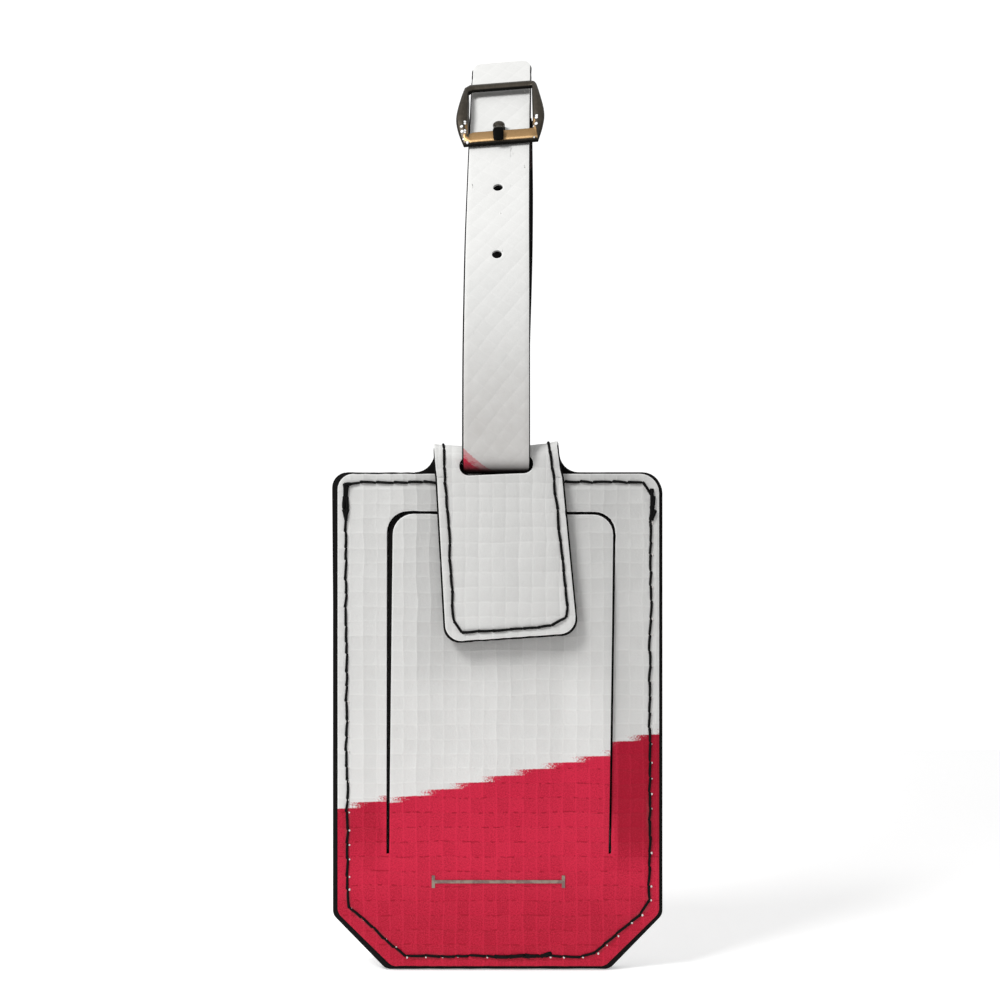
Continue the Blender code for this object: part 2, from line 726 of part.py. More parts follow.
def slice_across(obj):
    """Cuts across the frame's length, so that the arch bends it smoothly."""
    work = bmesh.new()
    work.from_mesh(obj.data)
    for along in (-9.6, -6.3, -4.4, -2.1, 0.3, 2.3, 4.6):
        everything = [*work.verts, *work.edges, *work.faces]
        bmesh.ops.bisect_plane(work, geom=everything, plane_co=(0, along * MM, 0), plane_no=(0, 1, 0))
    work.to_mesh(obj.data)
    work.free()


def prong():
    """A ring round the centre bar, and a shaft that comes out through the strap and lies on the lower bar."""
    curve = bpy.data.curves.new("prong_shaft", "CURVE")
    curve.dimensions = "3D"
    curve.bevel_depth = PRONG_RADIUS * MM
    curve.bevel_resolution = 2
    curve.use_fill_caps = True
    spline = curve.splines.new("POLY")
    spline.points.add(len(PRONG_ROUTE) - 1)
    for point, (along, out) in zip(spline.points, PRONG_ROUTE):
        point.co = (0, along * MM, out * MM, 1)
    shaft = as_mesh(bpy.data.objects.new("buckle_prong", curve))
    bpy.ops.mesh.primitive_torus_add(
        major_radius=PRONG_RING[0] * MM, minor_radius=PRONG_RING[1] * MM, major_segments=20, minor_segments=8
    )
    ring = bpy.context.object
    ring.name = "prong_ring"
    ring.data.transform(Matrix.Rotation(math.pi / 2, 4, "Y"))
    ring.data.transform(Matrix.Translation((0, 0, BAR_DEPTH * MM)))
    bpy.context.collection.objects.unlink(ring)
    parts.objects.link(shaft)
    combine(shaft, ring, "UNION")
    shaft = as_mesh(shaft)
    shaft.data.transform(Matrix.Diagonal((PRONG_FLATNESS, 1, 1, 1)))
    return shaft


# ---------------------------------------------------------------- assembly
def assemble():
    clear_scene()
    front_of_holder()
    privacy_cover()
    card()
    foil_mark()
    folded_sheet("back_panel", VINYL_RADII, "white_vinyl")
    folded_sheet("back_lining", LINING_RADII, "black_lining")
    tab()
    seams()
    strap()
    buckle()

    root = axis_empty("luggage_tag", (0, 0, 0))
    swing = axis_empty("tag_swing_axis", (0, *PIVOT), root)
    cover_axis = axis_empty("cover_open_axis", (0, *COVER_HINGE), swing)
    tab_axis = axis_empty("tab_lift_axis", (0, *TAB_HINGE), swing)
    card_axis = axis_empty("card_slide_axis", (0, CARD[0], CARD_BOTTOM), swing)
    bar = buckle_settling() @ BAR
    buckle_axis = axis_empty("buckle_rock_axis", bar, root)
    prong_axis = axis_empty("prong_lift_axis", bar, buckle_axis)

    homes = {
        "strap_": root,
        "buckle_prong": prong_axis,
        "buckle_": buckle_axis,
        "privacy_cover": cover_axis,
        "cover_lining": cover_axis,
        "tab_": tab_axis,
        "id_card": card_axis,
    }
    for piece in [obj for obj in parts.objects if obj.type != "EMPTY"]:
        home = next((axis for start, axis in homes.items() if piece.name.startswith(start)), swing)
        hang(piece, home)
    for cutter in cutters.objects:
        hang(cutter, root)
    tab_axis.rotation_euler.x = -TAB_STAND_OFF
    root.location = -Vector(LOOP_CENTRE) * MM
    bpy.context.view_layer.update()


clear_scene()
parts = new_collection("luggage_tag")
cutters = new_collection("cutters")
cutters.hide_render = True
assemble()
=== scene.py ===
"""The looks of the stitched vinyl luggage tag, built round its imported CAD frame.

Lengths in this file are millimetres in the drawing frame of the part (X across, Y back, Z up from the
holder's foot), and world() turns them into the row frame in metres. Every flexible sheet is cut flat,
given its thickness and soft edges, and then laid on its route. Flat coordinates are (x, depth, s): x
across the sheet, depth inwards from its outer face, and s along it. They stay on the mesh as the
attribute "flat", which the materials read.
"""

import json
import math
import random

import bmesh
import bpy
import numpy as np
from mathutils import Matrix, Vector
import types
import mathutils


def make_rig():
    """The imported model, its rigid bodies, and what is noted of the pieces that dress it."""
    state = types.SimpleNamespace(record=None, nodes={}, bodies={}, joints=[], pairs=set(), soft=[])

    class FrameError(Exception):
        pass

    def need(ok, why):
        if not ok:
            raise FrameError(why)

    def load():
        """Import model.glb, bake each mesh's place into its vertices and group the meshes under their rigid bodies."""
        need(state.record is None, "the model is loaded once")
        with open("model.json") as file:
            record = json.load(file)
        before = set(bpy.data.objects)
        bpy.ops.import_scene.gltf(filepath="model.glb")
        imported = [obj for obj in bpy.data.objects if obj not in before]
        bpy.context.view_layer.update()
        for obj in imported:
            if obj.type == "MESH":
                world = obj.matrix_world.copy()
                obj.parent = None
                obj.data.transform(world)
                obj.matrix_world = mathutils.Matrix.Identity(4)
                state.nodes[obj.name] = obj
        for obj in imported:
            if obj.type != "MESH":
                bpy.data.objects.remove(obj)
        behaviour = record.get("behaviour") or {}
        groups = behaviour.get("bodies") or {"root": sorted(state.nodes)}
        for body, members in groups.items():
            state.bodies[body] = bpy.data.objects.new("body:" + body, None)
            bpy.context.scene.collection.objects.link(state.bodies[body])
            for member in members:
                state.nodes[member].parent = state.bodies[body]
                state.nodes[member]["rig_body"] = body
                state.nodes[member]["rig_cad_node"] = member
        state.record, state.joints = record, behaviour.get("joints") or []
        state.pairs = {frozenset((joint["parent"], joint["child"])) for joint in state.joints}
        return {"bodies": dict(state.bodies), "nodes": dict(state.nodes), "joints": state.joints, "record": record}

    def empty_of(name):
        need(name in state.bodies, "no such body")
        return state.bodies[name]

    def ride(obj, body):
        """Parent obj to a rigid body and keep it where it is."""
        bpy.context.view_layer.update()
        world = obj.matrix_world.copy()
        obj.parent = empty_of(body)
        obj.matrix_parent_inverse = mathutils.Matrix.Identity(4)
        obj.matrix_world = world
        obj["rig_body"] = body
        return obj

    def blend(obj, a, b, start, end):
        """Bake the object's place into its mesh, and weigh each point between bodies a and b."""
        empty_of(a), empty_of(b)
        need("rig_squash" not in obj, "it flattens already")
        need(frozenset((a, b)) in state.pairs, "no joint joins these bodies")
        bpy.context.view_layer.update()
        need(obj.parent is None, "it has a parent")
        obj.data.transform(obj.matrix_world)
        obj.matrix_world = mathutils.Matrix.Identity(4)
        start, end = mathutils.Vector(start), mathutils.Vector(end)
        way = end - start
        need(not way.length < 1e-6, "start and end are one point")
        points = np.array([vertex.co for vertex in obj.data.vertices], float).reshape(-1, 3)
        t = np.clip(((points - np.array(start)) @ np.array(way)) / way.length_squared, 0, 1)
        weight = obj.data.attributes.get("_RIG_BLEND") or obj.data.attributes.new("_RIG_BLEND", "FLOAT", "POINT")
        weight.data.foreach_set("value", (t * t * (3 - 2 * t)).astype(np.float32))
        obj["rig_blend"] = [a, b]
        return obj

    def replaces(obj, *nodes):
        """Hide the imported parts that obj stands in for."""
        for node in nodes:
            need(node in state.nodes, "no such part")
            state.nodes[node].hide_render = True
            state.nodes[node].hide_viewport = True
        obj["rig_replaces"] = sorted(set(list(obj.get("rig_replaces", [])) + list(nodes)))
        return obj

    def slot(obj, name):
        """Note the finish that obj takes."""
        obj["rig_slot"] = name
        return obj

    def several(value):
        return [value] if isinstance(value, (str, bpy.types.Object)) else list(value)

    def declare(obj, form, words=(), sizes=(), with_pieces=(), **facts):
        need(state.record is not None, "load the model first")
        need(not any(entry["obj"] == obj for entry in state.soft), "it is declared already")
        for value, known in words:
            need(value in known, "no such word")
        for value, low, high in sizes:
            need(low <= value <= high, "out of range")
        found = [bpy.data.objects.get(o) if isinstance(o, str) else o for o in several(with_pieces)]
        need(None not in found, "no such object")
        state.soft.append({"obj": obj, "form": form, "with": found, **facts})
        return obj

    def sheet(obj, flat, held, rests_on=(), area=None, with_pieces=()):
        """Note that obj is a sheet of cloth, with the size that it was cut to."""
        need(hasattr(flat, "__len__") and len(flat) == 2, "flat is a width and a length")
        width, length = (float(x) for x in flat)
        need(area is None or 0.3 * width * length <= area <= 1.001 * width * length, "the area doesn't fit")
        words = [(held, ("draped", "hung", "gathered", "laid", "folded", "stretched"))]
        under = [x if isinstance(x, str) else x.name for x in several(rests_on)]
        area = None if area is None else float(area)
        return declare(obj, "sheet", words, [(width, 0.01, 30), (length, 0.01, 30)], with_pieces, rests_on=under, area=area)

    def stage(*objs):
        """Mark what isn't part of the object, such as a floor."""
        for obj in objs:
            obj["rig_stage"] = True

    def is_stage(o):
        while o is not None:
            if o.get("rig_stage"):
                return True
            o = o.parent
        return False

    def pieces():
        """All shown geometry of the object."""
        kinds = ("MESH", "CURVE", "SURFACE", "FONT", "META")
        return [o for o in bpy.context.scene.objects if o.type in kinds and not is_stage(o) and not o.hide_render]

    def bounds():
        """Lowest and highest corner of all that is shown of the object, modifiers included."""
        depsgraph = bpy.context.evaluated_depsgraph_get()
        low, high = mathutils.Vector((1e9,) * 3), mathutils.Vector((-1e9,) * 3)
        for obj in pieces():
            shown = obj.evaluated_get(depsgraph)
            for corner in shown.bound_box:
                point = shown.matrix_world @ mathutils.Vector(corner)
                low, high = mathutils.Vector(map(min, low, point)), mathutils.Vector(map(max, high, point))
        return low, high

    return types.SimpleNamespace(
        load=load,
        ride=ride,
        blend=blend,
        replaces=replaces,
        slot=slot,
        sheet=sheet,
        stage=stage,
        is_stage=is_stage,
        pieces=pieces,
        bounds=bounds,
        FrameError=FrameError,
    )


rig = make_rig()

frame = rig.load()
cad_box = [list(corner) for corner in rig.bounds()]

MM = 0.001
LOOP_CENTRE = np.array([0.0, 7.3, 147.0])

# ---------------------------------------------------------------- the part's sizes, as in its CAD
FRONT_Y = -3.0
LINING_Y = -2.2
FOLD_Y, FOLD_Z = -1.95, 111.0
FOLD_OUTER = 3.05
FOLD_MIDDLE = 2.7
HOLDER_HALF, HOLDER_TOP = 35.0, 108.0
CHAMFER = (11.8, 11.6)
LINING_RIM = 0.8
SEAM_INSET = 2.2
HINGE_Z = 25.3
TAB_HINGE = (-5.0, 106.5)
TAB_STAND_OFF = math.radians(2.0)
TAB_EDGES = ((-13.72, 106.35), (-11.7, 71.2), (17.4, 73.15), (14.2, 106.35))
NECK_LEFT, NECK_RIGHT, NECK_FILLET = -14.1, 12.9, 4.2
SLOT_Z, SLOT_HALF, SLOT_X = (107.85, 111.9), 8.0, -0.45
VINYL, LINING, PLY = 0.7, 0.7, 0.6
GAP = 0.1  # between two sheets that lie together
STRAP_HALF = 7.35
FRONT_LEG_Y = -6.55
PIVOT = (FOLD_Y, 112.8)
BEND_RADIUS = PIVOT[0] - FRONT_LEG_Y
ARC_START_Z, ARC_RADIUS, ARC_TURN = 118.0, 78.0, math.radians(36.5)
FREE_LENGTH = 56.8
BUCKLE_AT, BAR_DEPTH, BAR_RADIUS = 37.3, -4.0, 1.0
PRONG_HOLE_AT, FREE_HOLES_AT, HOLE_RADIUS = 32.0, (12.0, -9.0), 1.1
TWIST, TWIST_FROM, TWIST_TO = -math.radians(5.5), -35.0, 25.0
STRAP_X, DRIFT, DRIFT_FROM, DRIFT_TO = -0.5, 1.25, -45.0, 57.0
FRAME_X, PRONG_X = 0.3, -0.1
PLATE_LOW, PLATE_HIGH = 0.85, 2.15
SOFT, LINING_SOFT = 0.16, 0.12  # the width of a cut edge's rounding

# the buckle's own axes, with the strap's flat end, and the centre of its bar
ACROSS = np.array([1.0, 0.0, 0.0])
ALONG = np.array([0.0, math.sin(ARC_TURN), math.cos(ARC_TURN)])
OUT = np.array([0.0, -math.cos(ARC_TURN), math.sin(ARC_TURN)])
ARC_END = np.array([0.0, FRONT_LEG_Y + ARC_RADIUS * (1 + OUT[1]), ARC_START_Z + ARC_RADIUS * OUT[2]])
BAR = ARC_END + ALONG * BUCKLE_AT + OUT * BAR_DEPTH


def world(points):
    return (np.asarray(points, float) - LOOP_CENTRE) * MM


# ---------------------------------------------------------------- outlines
def rounded(corners, steps=7):
    """A polygon's outline from (x, y, corner radius) corners, each turned into an arc."""
    outline = []
    for n, (x, y, radius) in enumerate(corners):
        corner = Vector((x, y))
        if radius == 0:
            outline.append(corner)
            continue
        before = (Vector(corners[n - 1][:2]) - corner).normalized()
        after = (Vector(corners[(n + 1) % len(corners)][:2]) - corner).normalized()
        half = before.angle(after) / 2
        centre = corner + (before + after).normalized() * radius / math.sin(half)
        start = corner + before * radius / math.tan(half) - centre
        end = corner + after * radius / math.tan(half) - centre
        turn = math.remainder(math.atan2(end.y, end.x) - math.atan2(start.y, start.x), math.tau)
        for k in range(steps + 1):
            outline.append(centre + Matrix.Rotation(turn * k / steps, 2) @ start)
    return outline


def capsule(half_wide, half_long, x, s, tilt=0.0):
    """A rounded hole, with semicircular ends, centred at (x, s)."""
    radius = min(half_wide, half_long) - 0.01
    signs = ((-1, -1), (1, -1), (1, 1), (-1, 1))
    corners = [(a * half_wide, b * half_long, radius) for a, b in signs]
    turn = Matrix.Rotation(tilt, 2)
    return [turn @ p + Vector((x, s)) for p in rounded(corners)]


def holder_corners(rim=0.0, rise=0.0, left_lean=0.0):
    """The holder's outline, grown by rim at its sides and foot and by rise at its top."""
    half, across, up = HOLDER_HALF + rim, CHAMFER[0] - 0.3 * rim, CHAMFER[1] + 0.3 * rim
    low, top = LINING_RIM - rim, HOLDER_TOP + rise
    return [
        (-half + across, low, 2.5),
        (half - across, low, 2.5),
        (half, low + up, 2.5),
        (half, top, 4.2),
        (-half - left_lean, top, 3.4),
        (-half, low + up, 2.5),
    ]


def polygon_area(outline):
    x, y = np.array([tuple(p) for p in outline]).T
    return abs(np.dot(x, np.roll(y, -1)) - np.dot(y, np.roll(x, -1))) / 2


# ---------------------------------------------------------------- sheets
def link(obj):
    bpy.context.scene.collection.objects.link(obj)
    return obj


def new_object(name, mesh):
    return link(bpy.data.objects.new(name, mesh))


def applied(obj):
    """The object with its modifiers made real."""
    bpy.context.view_layer.update()
    graph = bpy.context.evaluated_depsgraph_get()
    mesh = bpy.data.meshes.new_from_object(obj.evaluated_get(graph))
    name = obj.name
    bpy.data.objects.remove(obj, do_unlink=True)
    mesh.name = name
    return new_object(name, mesh)


def coordinates(mesh):
    co = np.empty(len(mesh.vertices) * 3, np.float32)
    mesh.vertices.foreach_get("co", co)
    return co.reshape(-1, 3).astype(float)


def set_coordinates(mesh, co):
    mesh.vertices.foreach_set("co", np.asarray(co, np.float32).ravel())
    mesh.update()


def store(mesh, name, values):
    """A per-vertex attribute that materials read."""
    values = np.asarray(values, np.float32)
    kind = "FLOAT" if values.ndim == 1 else "FLOAT_VECTOR"
    attribute = mesh.attributes.new(name, kind, "POINT")
    attribute.data.foreach_set("value" if kind == "FLOAT" else "vector", values.ravel())


def shade(obj, angle=40):
    obj.data.shade_smooth()
    obj.data.set_sharp_from_angle(angle=math.radians(angle))
    return obj


def written(work, mesh):
    """The mesh, once the work on it is written to it."""
    work.to_mesh(mesh)
    work.free()
    return mesh


def skin(name, vertices, faces):
    """A closed object with its faces turned outward."""
    mesh = bpy.data.meshes.new(name)
    mesh.from_pydata(vertices, [], faces)
    work = bmesh.new()
    work.from_mesh(mesh)
    bmesh.ops.recalc_face_normals(work, faces=work.faces)
    return new_object(name, written(work, mesh))


def cut_sheet(name, loops, thickness, pitch, soft=SOFT, joined=()):
    """A flat sheet cut to its loops, with a grid of vertices and its thickness, in flat coordinates.

    Its edges are softened, except where it runs on into another sheet at one of the joined places along s.
    """
    curve = bpy.data.curves.new(name, "CURVE")
    curve.dimensions = "2D"
    curve.fill_mode = "FRONT"
    for outline in loops:
        spline = curve.splines.new("POLY")
        spline.points.add(len(outline) - 1)
        for point, at in zip(spline.points, outline):
            point.co = (at[0], at[1], 0, 1)
        spline.use_cyclic_u = True
    obj = applied(link(bpy.data.objects.new(name, curve)))
    work = bmesh.new()
    work.from_mesh(obj.data)
    bmesh.ops.remove_doubles(work, verts=work.verts, dist=0.002)
    low = [min(v.co[k] for v in work.verts) for k in (0, 1)]
    high = [max(v.co[k] for v in work.verts) for k in (0, 1)]
    for axis in (0, 1):
        normal = [float(k == axis) for k in range(3)]
        count = max(1, round((high[axis] - low[axis]) / pitch))
        step = (high[axis] - low[axis]) / count
        for n in range(1, count):
            at = [k * (low[axis] + step * n + 0.013) for k in normal]  # a little off the outline's own points
            everything = [*work.verts, *work.edges, *work.faces]
            bmesh.ops.bisect_plane(work, geom=everything, dist=0.004, plane_co=at, plane_no=normal)
    bmesh.ops.remove_doubles(work, verts=work.verts, dist=0.1)
    slanted = []
    for edge in work.edges:
        a, b = (v.co for v in edge.verts)
        if len(edge.link_faces) == 2 and abs(a.x - b.x) > 1e-4 and abs(a.y - b.y) > 1e-4:
            slanted.append(edge)
    bmesh.ops.dissolve_edges(work, edges=slanted, use_verts=False)
    # cells that a curved edge crosses are cut up again neatly, because the sheet may bend there
    bmesh.ops.triangulate(work, faces=[f for f in work.faces if len(f.verts) > 4], ngon_method="BEAUTY")
    for face in work.faces:
        if face.normal.z < 0:
            face.normal_flip()
    # flat coordinates: x across, depth along Y, s along Z, with the outer face towards -Y
    for vertex in work.verts:
        vertex.co = (vertex.co.x, 0.0, vertex.co.y)
    work.normal_update()
    bmesh.ops.recalc_face_normals(work, faces=work.faces)
    if sum(f.normal.y for f in work.faces) > 0:
        bmesh.ops.reverse_faces(work, faces=work.faces)
    written(work, obj.data)
    shell = obj.modifiers.new("thickness", "SOLIDIFY")
    shell.thickness = thickness
    shell.offset = -1
    obj = applied(obj)
    work = bmesh.new()
    work.from_mesh(obj.data)
    weight = work.edges.layers.float.new("bevel_weight_edge")
    for edge in work.edges:
        middle = (edge.verts[0].co + edge.verts[1].co) / 2
        divided = any(abs(middle.z - s) < 0.01 for s in joined)
        edge[weight] = float(not divided and edge.calc_face_angle(0) > math.radians(50))
    written(work, obj.data)
    bevel = obj.modifiers.new("soft_edge", "BEVEL")
    bevel.width, bevel.segments = soft, 2
    bevel.limit_method = "WEIGHT"
    bevel.use_clamp_overlap = False
    return applied(obj)


FAR = 9.0  # stands for any greater distance
SEAM_PULL, SEAM_REACH = 0.13, 0.8  # how deep a seam draws its sheet in, and how far beside it


def distance_to(points, path):
    """From (x, s) points to a polyline, up to FAR."""
    best = np.full(len(points), FAR)
    for a, b in zip(path, path[1:]):
        a, b = np.array(a, float), np.array(b, float)
        span = b - a
        share = np.clip((points - a) @ span / max(span @ span, 1e-12), 0, 1)
        best = np.minimum(best, np.linalg.norm(points - a - share[:, None] * span, axis=1))
    return best


def lay(obj, route, outlines, seams=(), wave=0.0, joined=(), under=0.0):
    """Stores a sheet's flat coordinates, draws its outer face in along its seams, and lays it on its route.

    It lies as deep below the route's face as under says.
    """
    set_coordinates(obj.data, coordinates(obj.data) + np.array([0, under, 0]))
    flat = coordinates(obj.data)
    store(obj.data, "flat", flat)
    plane = flat[:, [0, 2]]
    rim = seam = np.full(len(flat), FAR)
    for outline in outlines:
        for a, b in zip(outline, [*outline[1:], outline[0]]):
            if not any(abs(a[1] - s) < 0.01 and abs(b[1] - s) < 0.01 for s in joined):
                rim = np.minimum(rim, distance_to(plane, [a, b]))
    for path in seams:
        seam = np.minimum(seam, distance_to(plane, path))
    store(obj.data, "rim", rim)
    store(obj.data, "seam", seam)
    moved = flat.copy()
    moved[:, 1] += SEAM_PULL * np.exp(-((seam / SEAM_REACH) ** 2)) * (flat[:, 1] < 0.3)
    moved[:, 1] += wave * np.sin(flat[:, 0] * 0.31 + 0.9) * np.sin(flat[:, 2] * 0.17 + 0.4)
    set_coordinates(obj.data, world(route(moved)))
    return shade(obj)


# ---------------------------------------------------------------- routes, from flat to drawing coordinates
def on_plane(y):
    """A flat sheet standing with its outer face at y."""

    def route(flat):
        return np.stack([flat[:, 0], y + flat[:, 1], flat[:, 2]], axis=1)

    return route


FOLD_END = FOLD_Z + math.pi * FOLD_MIDDLE  # s where the fold has come round to the front


def front_s(z):
    """s of a height on the folded sheet's front run."""
    return FOLD_END + FOLD_Z - z


def smoothstep(x):
    x = np.clip(x, 0, 1)
    return x * x * (3 - 2 * x)


def on_fold(flat):
    """The back, the fold over the top, and the tab down the front, which stands off a little."""
    x, depth, s = flat.T
    reach = FOLD_OUTER - depth
    turn = np.clip((s - FOLD_Z) / FOLD_MIDDLE, 0, math.pi)
    below = np.where(s < FOLD_Z, s - FOLD_Z, np.where(s > FOLD_END, FOLD_END - s, 0))
    y = FOLD_Y + reach * np.cos(turn)
    z = FOLD_Z + reach * np.sin(turn) + below
    hang = s - front_s(TAB_HINGE[1])
    angle = TAB_STAND_OFF * np.clip(hang / 2.5, 0, 1)
    past = hang > 0
    away = np.stack([y - TAB_HINGE[0], z - TAB_HINGE[1]])
    tilted_y = TAB_HINGE[0] + away[0] * np.cos(angle) + away[1] * np.sin(angle)
    tilted_z = TAB_HINGE[1] - away[0] * np.sin(angle) + away[1] * np.cos(angle)
    y, z = np.where(past, tilted_y, y), np.where(past, tilted_z, z)
    # the band of the fold sags a little where the strap pulls on it
    crown = np.exp(-(((s - FOLD_Z) / FOLD_MIDDLE - math.pi / 2) ** 2) / 0.8)
    crown *= (s > FOLD_Z - 2) * (s < FOLD_END + 2)
    z = z + crown * (np.where(x > 0, 1.35, 0.6) * (np.abs(x) / 13) ** 2 - 0.12)
    return np.stack([x, y, z], axis=1)


def catmull(points, steps):
    """A smooth route through points."""
    points = [np.asarray(p, float) for p in points]
    ends = [2 * points[0] - points[1], *points, 2 * points[-1] - points[-2]]
    route = []
    for a, b, c, d in zip(ends, ends[1:], ends[2:], ends[3:]):
        square, cube = 2 * a - 5 * b + 4 * c - d, 3 * b - 3 * c + d - a
        for k in range(steps):
            t = k / steps
            route.append(0.5 * (2 * b + (c - a) * t + square * t**2 + cube * t**3))
    return [*route, points[-1]]


REAR_HEADING = np.array([0, 0.432, 0.902])
TAIL = ((2.2, 1.9), (4.2, 1.1), (6.2, 0.6), (8.5, 0.46), (13.0, 0.46))
REAR_LEG = ((2.65, 112.8), (3.1, 118), (7.5, 129.7), (13, 141.7), (18.5, 153.7), (24, 165.7), (29.5, 176.7))
WRAP = BAR_RADIUS + GAP + 2 * PLY + GAP


def round_from(centre, radius, angle):
    """A point in side view, at an angle from +Y towards +Z round a centre."""
    return centre + radius * np.array([0, math.cos(angle), math.sin(angle)])


def strap_route():
    """The strap's outer face in side view, from its tip to the end of the stitched tail."""
    route = [ARC_END + ALONG * at for at in np.linspace(FREE_LENGTH, 3, 19)]
    for k in range(17):
        angle = ARC_TURN * (1 - k / 16)
        drop = ARC_RADIUS * (1 - math.cos(angle))
        route.append(np.array([0, FRONT_LEG_Y + drop, ARC_START_Z + ARC_RADIUS * math.sin(angle)]))
    route += [round_from(np.array([0, *PIVOT]), BEND_RADIUS, math.pi + math.pi * k / 28) for k in range(29)]
    start, end = math.radians(-30), math.radians(154)
    knots = [(0, y, z) for y, z in REAR_LEG]
    route += catmull([*knots, round_from(BAR, WRAP, start)], 6)[1:-1]
    route += [round_from(BAR, WRAP, start + (end - start) * k / 24) for k in range(25)]
    forward = np.array([0, -REAR_HEADING[2], REAR_HEADING[1]])
    tail = [route[-1]] + [BAR - REAR_HEADING * below + forward * off for below, off in TAIL]
    return np.array(route + catmull(tail, 4)[1:])


STRAP_LINE = strap_route()
STRAP_S = np.concatenate([[0], np.cumsum(np.linalg.norm(np.diff(STRAP_LINE, axis=0), axis=1))])
STRAP_LENGTH = STRAP_S[-1]
STRAP_HEADING = np.gradient(STRAP_LINE, STRAP_S, axis=0)
STRAP_HEADING /= np.linalg.norm(STRAP_HEADING, axis=1)[:, None]
STRAP_NORMAL = np.stack([STRAP_HEADING[:, 0], STRAP_HEADING[:, 2], -STRAP_HEADING[:, 1]], axis=1)


def settled(points):
    """Where the straight-hung strap's points lie once it has its slight twist and drift."""
    height = (points - ARC_END) @ ALONG
    turn = TWIST * smoothstep((height - TWIST_FROM) / (TWIST_TO - TWIST_FROM))
    offset = points - ARC_END - height[:, None] * ALONG
    x, w = offset @ ACROSS, offset @ OUT
    turned_x = x * np.cos(turn) + w * np.sin(turn)
    turned_w = w * np.cos(turn) - x * np.sin(turn)
    drift = STRAP_X + DRIFT * (np.maximum(height - DRIFT_FROM, 0) / (DRIFT_TO - DRIFT_FROM)) ** 2
    return ARC_END + height[:, None] * ALONG + (turned_x + drift)[:, None] * ACROSS + turned_w[:, None] * OUT


def on_strap(flat):
    """The strap, from its tip down the front, through the slot, up behind and round the buckle's bar."""
    x, depth, s = flat.T
    middle = np.stack([np.interp(s, STRAP_S, STRAP_LINE[:, k]) for k in range(3)], axis=1)
    normal = np.stack([np.interp(s, STRAP_S, STRAP_NORMAL[:, k]) for k in range(3)], axis=1)
    normal /= np.linalg.norm(normal, axis=1)[:, None]
    return settled(middle + x[:, None] * ACROSS - depth[:, None] * normal)


# ---------------------------------------------------------------- stitching
def measured(path):
    """A path's points, and how far along it each one is."""
    points = np.array([tuple(p) for p in path], float)
    return points, np.concatenate([[0], np.cumsum(np.linalg.norm(np.diff(points, axis=0), axis=1))])


def stitch_marks(length, pitch, rng):
    """Where the needle went in along a seam, a little unevenly."""
    count = max(1, round(length / pitch))
    marks = np.linspace(0, length, count + 1)
    marks[1:-1] += [rng.uniform(-0.16, 0.16) * pitch for _ in marks[1:-1]]
    return marks


def stitch_run(name, paths, route, pitch, seed, radius=0.29, proud=0.1, closed=False, jitter=0.22, slant=0.0):
    """Separate stitches along paths in flat (x, s) coordinates, each diving into the sheet at both ends."""
    rng = random.Random(seed)
    vertices, faces, winding = [], [], []
    sides, rings, dive = 8, 9, 0.16
    for path in paths:
        points, lengths = measured([*path, path[0]] if closed else path)
        marks = stitch_marks(lengths[-1], pitch, rng)
        at = np.stack([np.interp(marks, lengths, points[:, k]) for k in (0, 1)], axis=1)
        at += np.array([(rng.uniform(-jitter, jitter), rng.uniform(-jitter, jitter)) for _ in at])
        if closed:
            at[-1] = at[0]
        for a, b in zip(at, at[1:]):
            length = np.linalg.norm(b - a)
            along = (b - a) / length
            across = np.array([-along[1], along[0]])
            bow = rng.uniform(-0.1, 0.1)
            base = len(vertices)
            for r in range(rings):
                t = r / (rings - 1)
                rise = math.sin(math.pi * t) ** 0.3 if 0 < t < 1 else 0
                centre = a + along * length * t + across * (bow * math.sin(math.pi * t) + slant * (t - 0.5))
                depth = dive - (dive + proud) * rise
                thick = radius * (0.85 + 0.15 * rise + 0.3 * math.exp(-(((t - 0.06) / 0.1) ** 2)))
                for k in range(sides):
                    turn = math.tau * k / sides
                    x, s = centre + across * math.cos(turn) * thick
                    vertices.append((x, depth - math.sin(turn) * thick * 0.85, s))
                    winding.append((t * length / 0.9 + k / sides, k / sides, 0))
            for r in range(rings - 1):
                q = base + r * sides
                for k in range(sides):
                    n = (k + 1) % sides
                    faces.append((q + k, q + n, q + sides + n, q + sides + k))
            faces.append(tuple(base + k for k in reversed(range(sides))))
            faces.append(tuple(base + (rings - 1) * sides + k for k in range(sides)))
    obj = skin(name, vertices, faces)
    store(obj.data, "winding", winding)
    set_coordinates(obj.data, world(route(coordinates(obj.data))))
    return shade(obj, 60)


# ---------------------------------------------------------------- materials
class Value:
    """A node's output. Arithmetic on it adds math nodes."""

    def __init__(self, nodes, socket):
        self.nodes, self.socket = nodes, socket

    def __add__(self, other):
        return self.nodes.math("ADD", self, other)

    def __sub__(self, other):
        return self.nodes.math("SUBTRACT", self, other)

    def __rsub__(self, other):
        return self.nodes.math("SUBTRACT", other, self)

    def __mul__(self, other):
        return self.nodes.math("MULTIPLY", self, other)

    def __truediv__(self, other):
        return self.nodes.math("DIVIDE", self, other)

    def __pow__(self, other):
        return self.nodes.math("POWER", self, other)

    def __abs__(self):
        return self.nodes.math("ABSOLUTE", self)

    def floor(self):
        return self.nodes.math("FLOOR", self)

    def fraction(self):
        return self.nodes.math("FRACT", self)

    def clamped(self):
        """Kept between 0 and 1 by the math node that it comes from."""
        self.socket.node.use_clamp = True
        return self


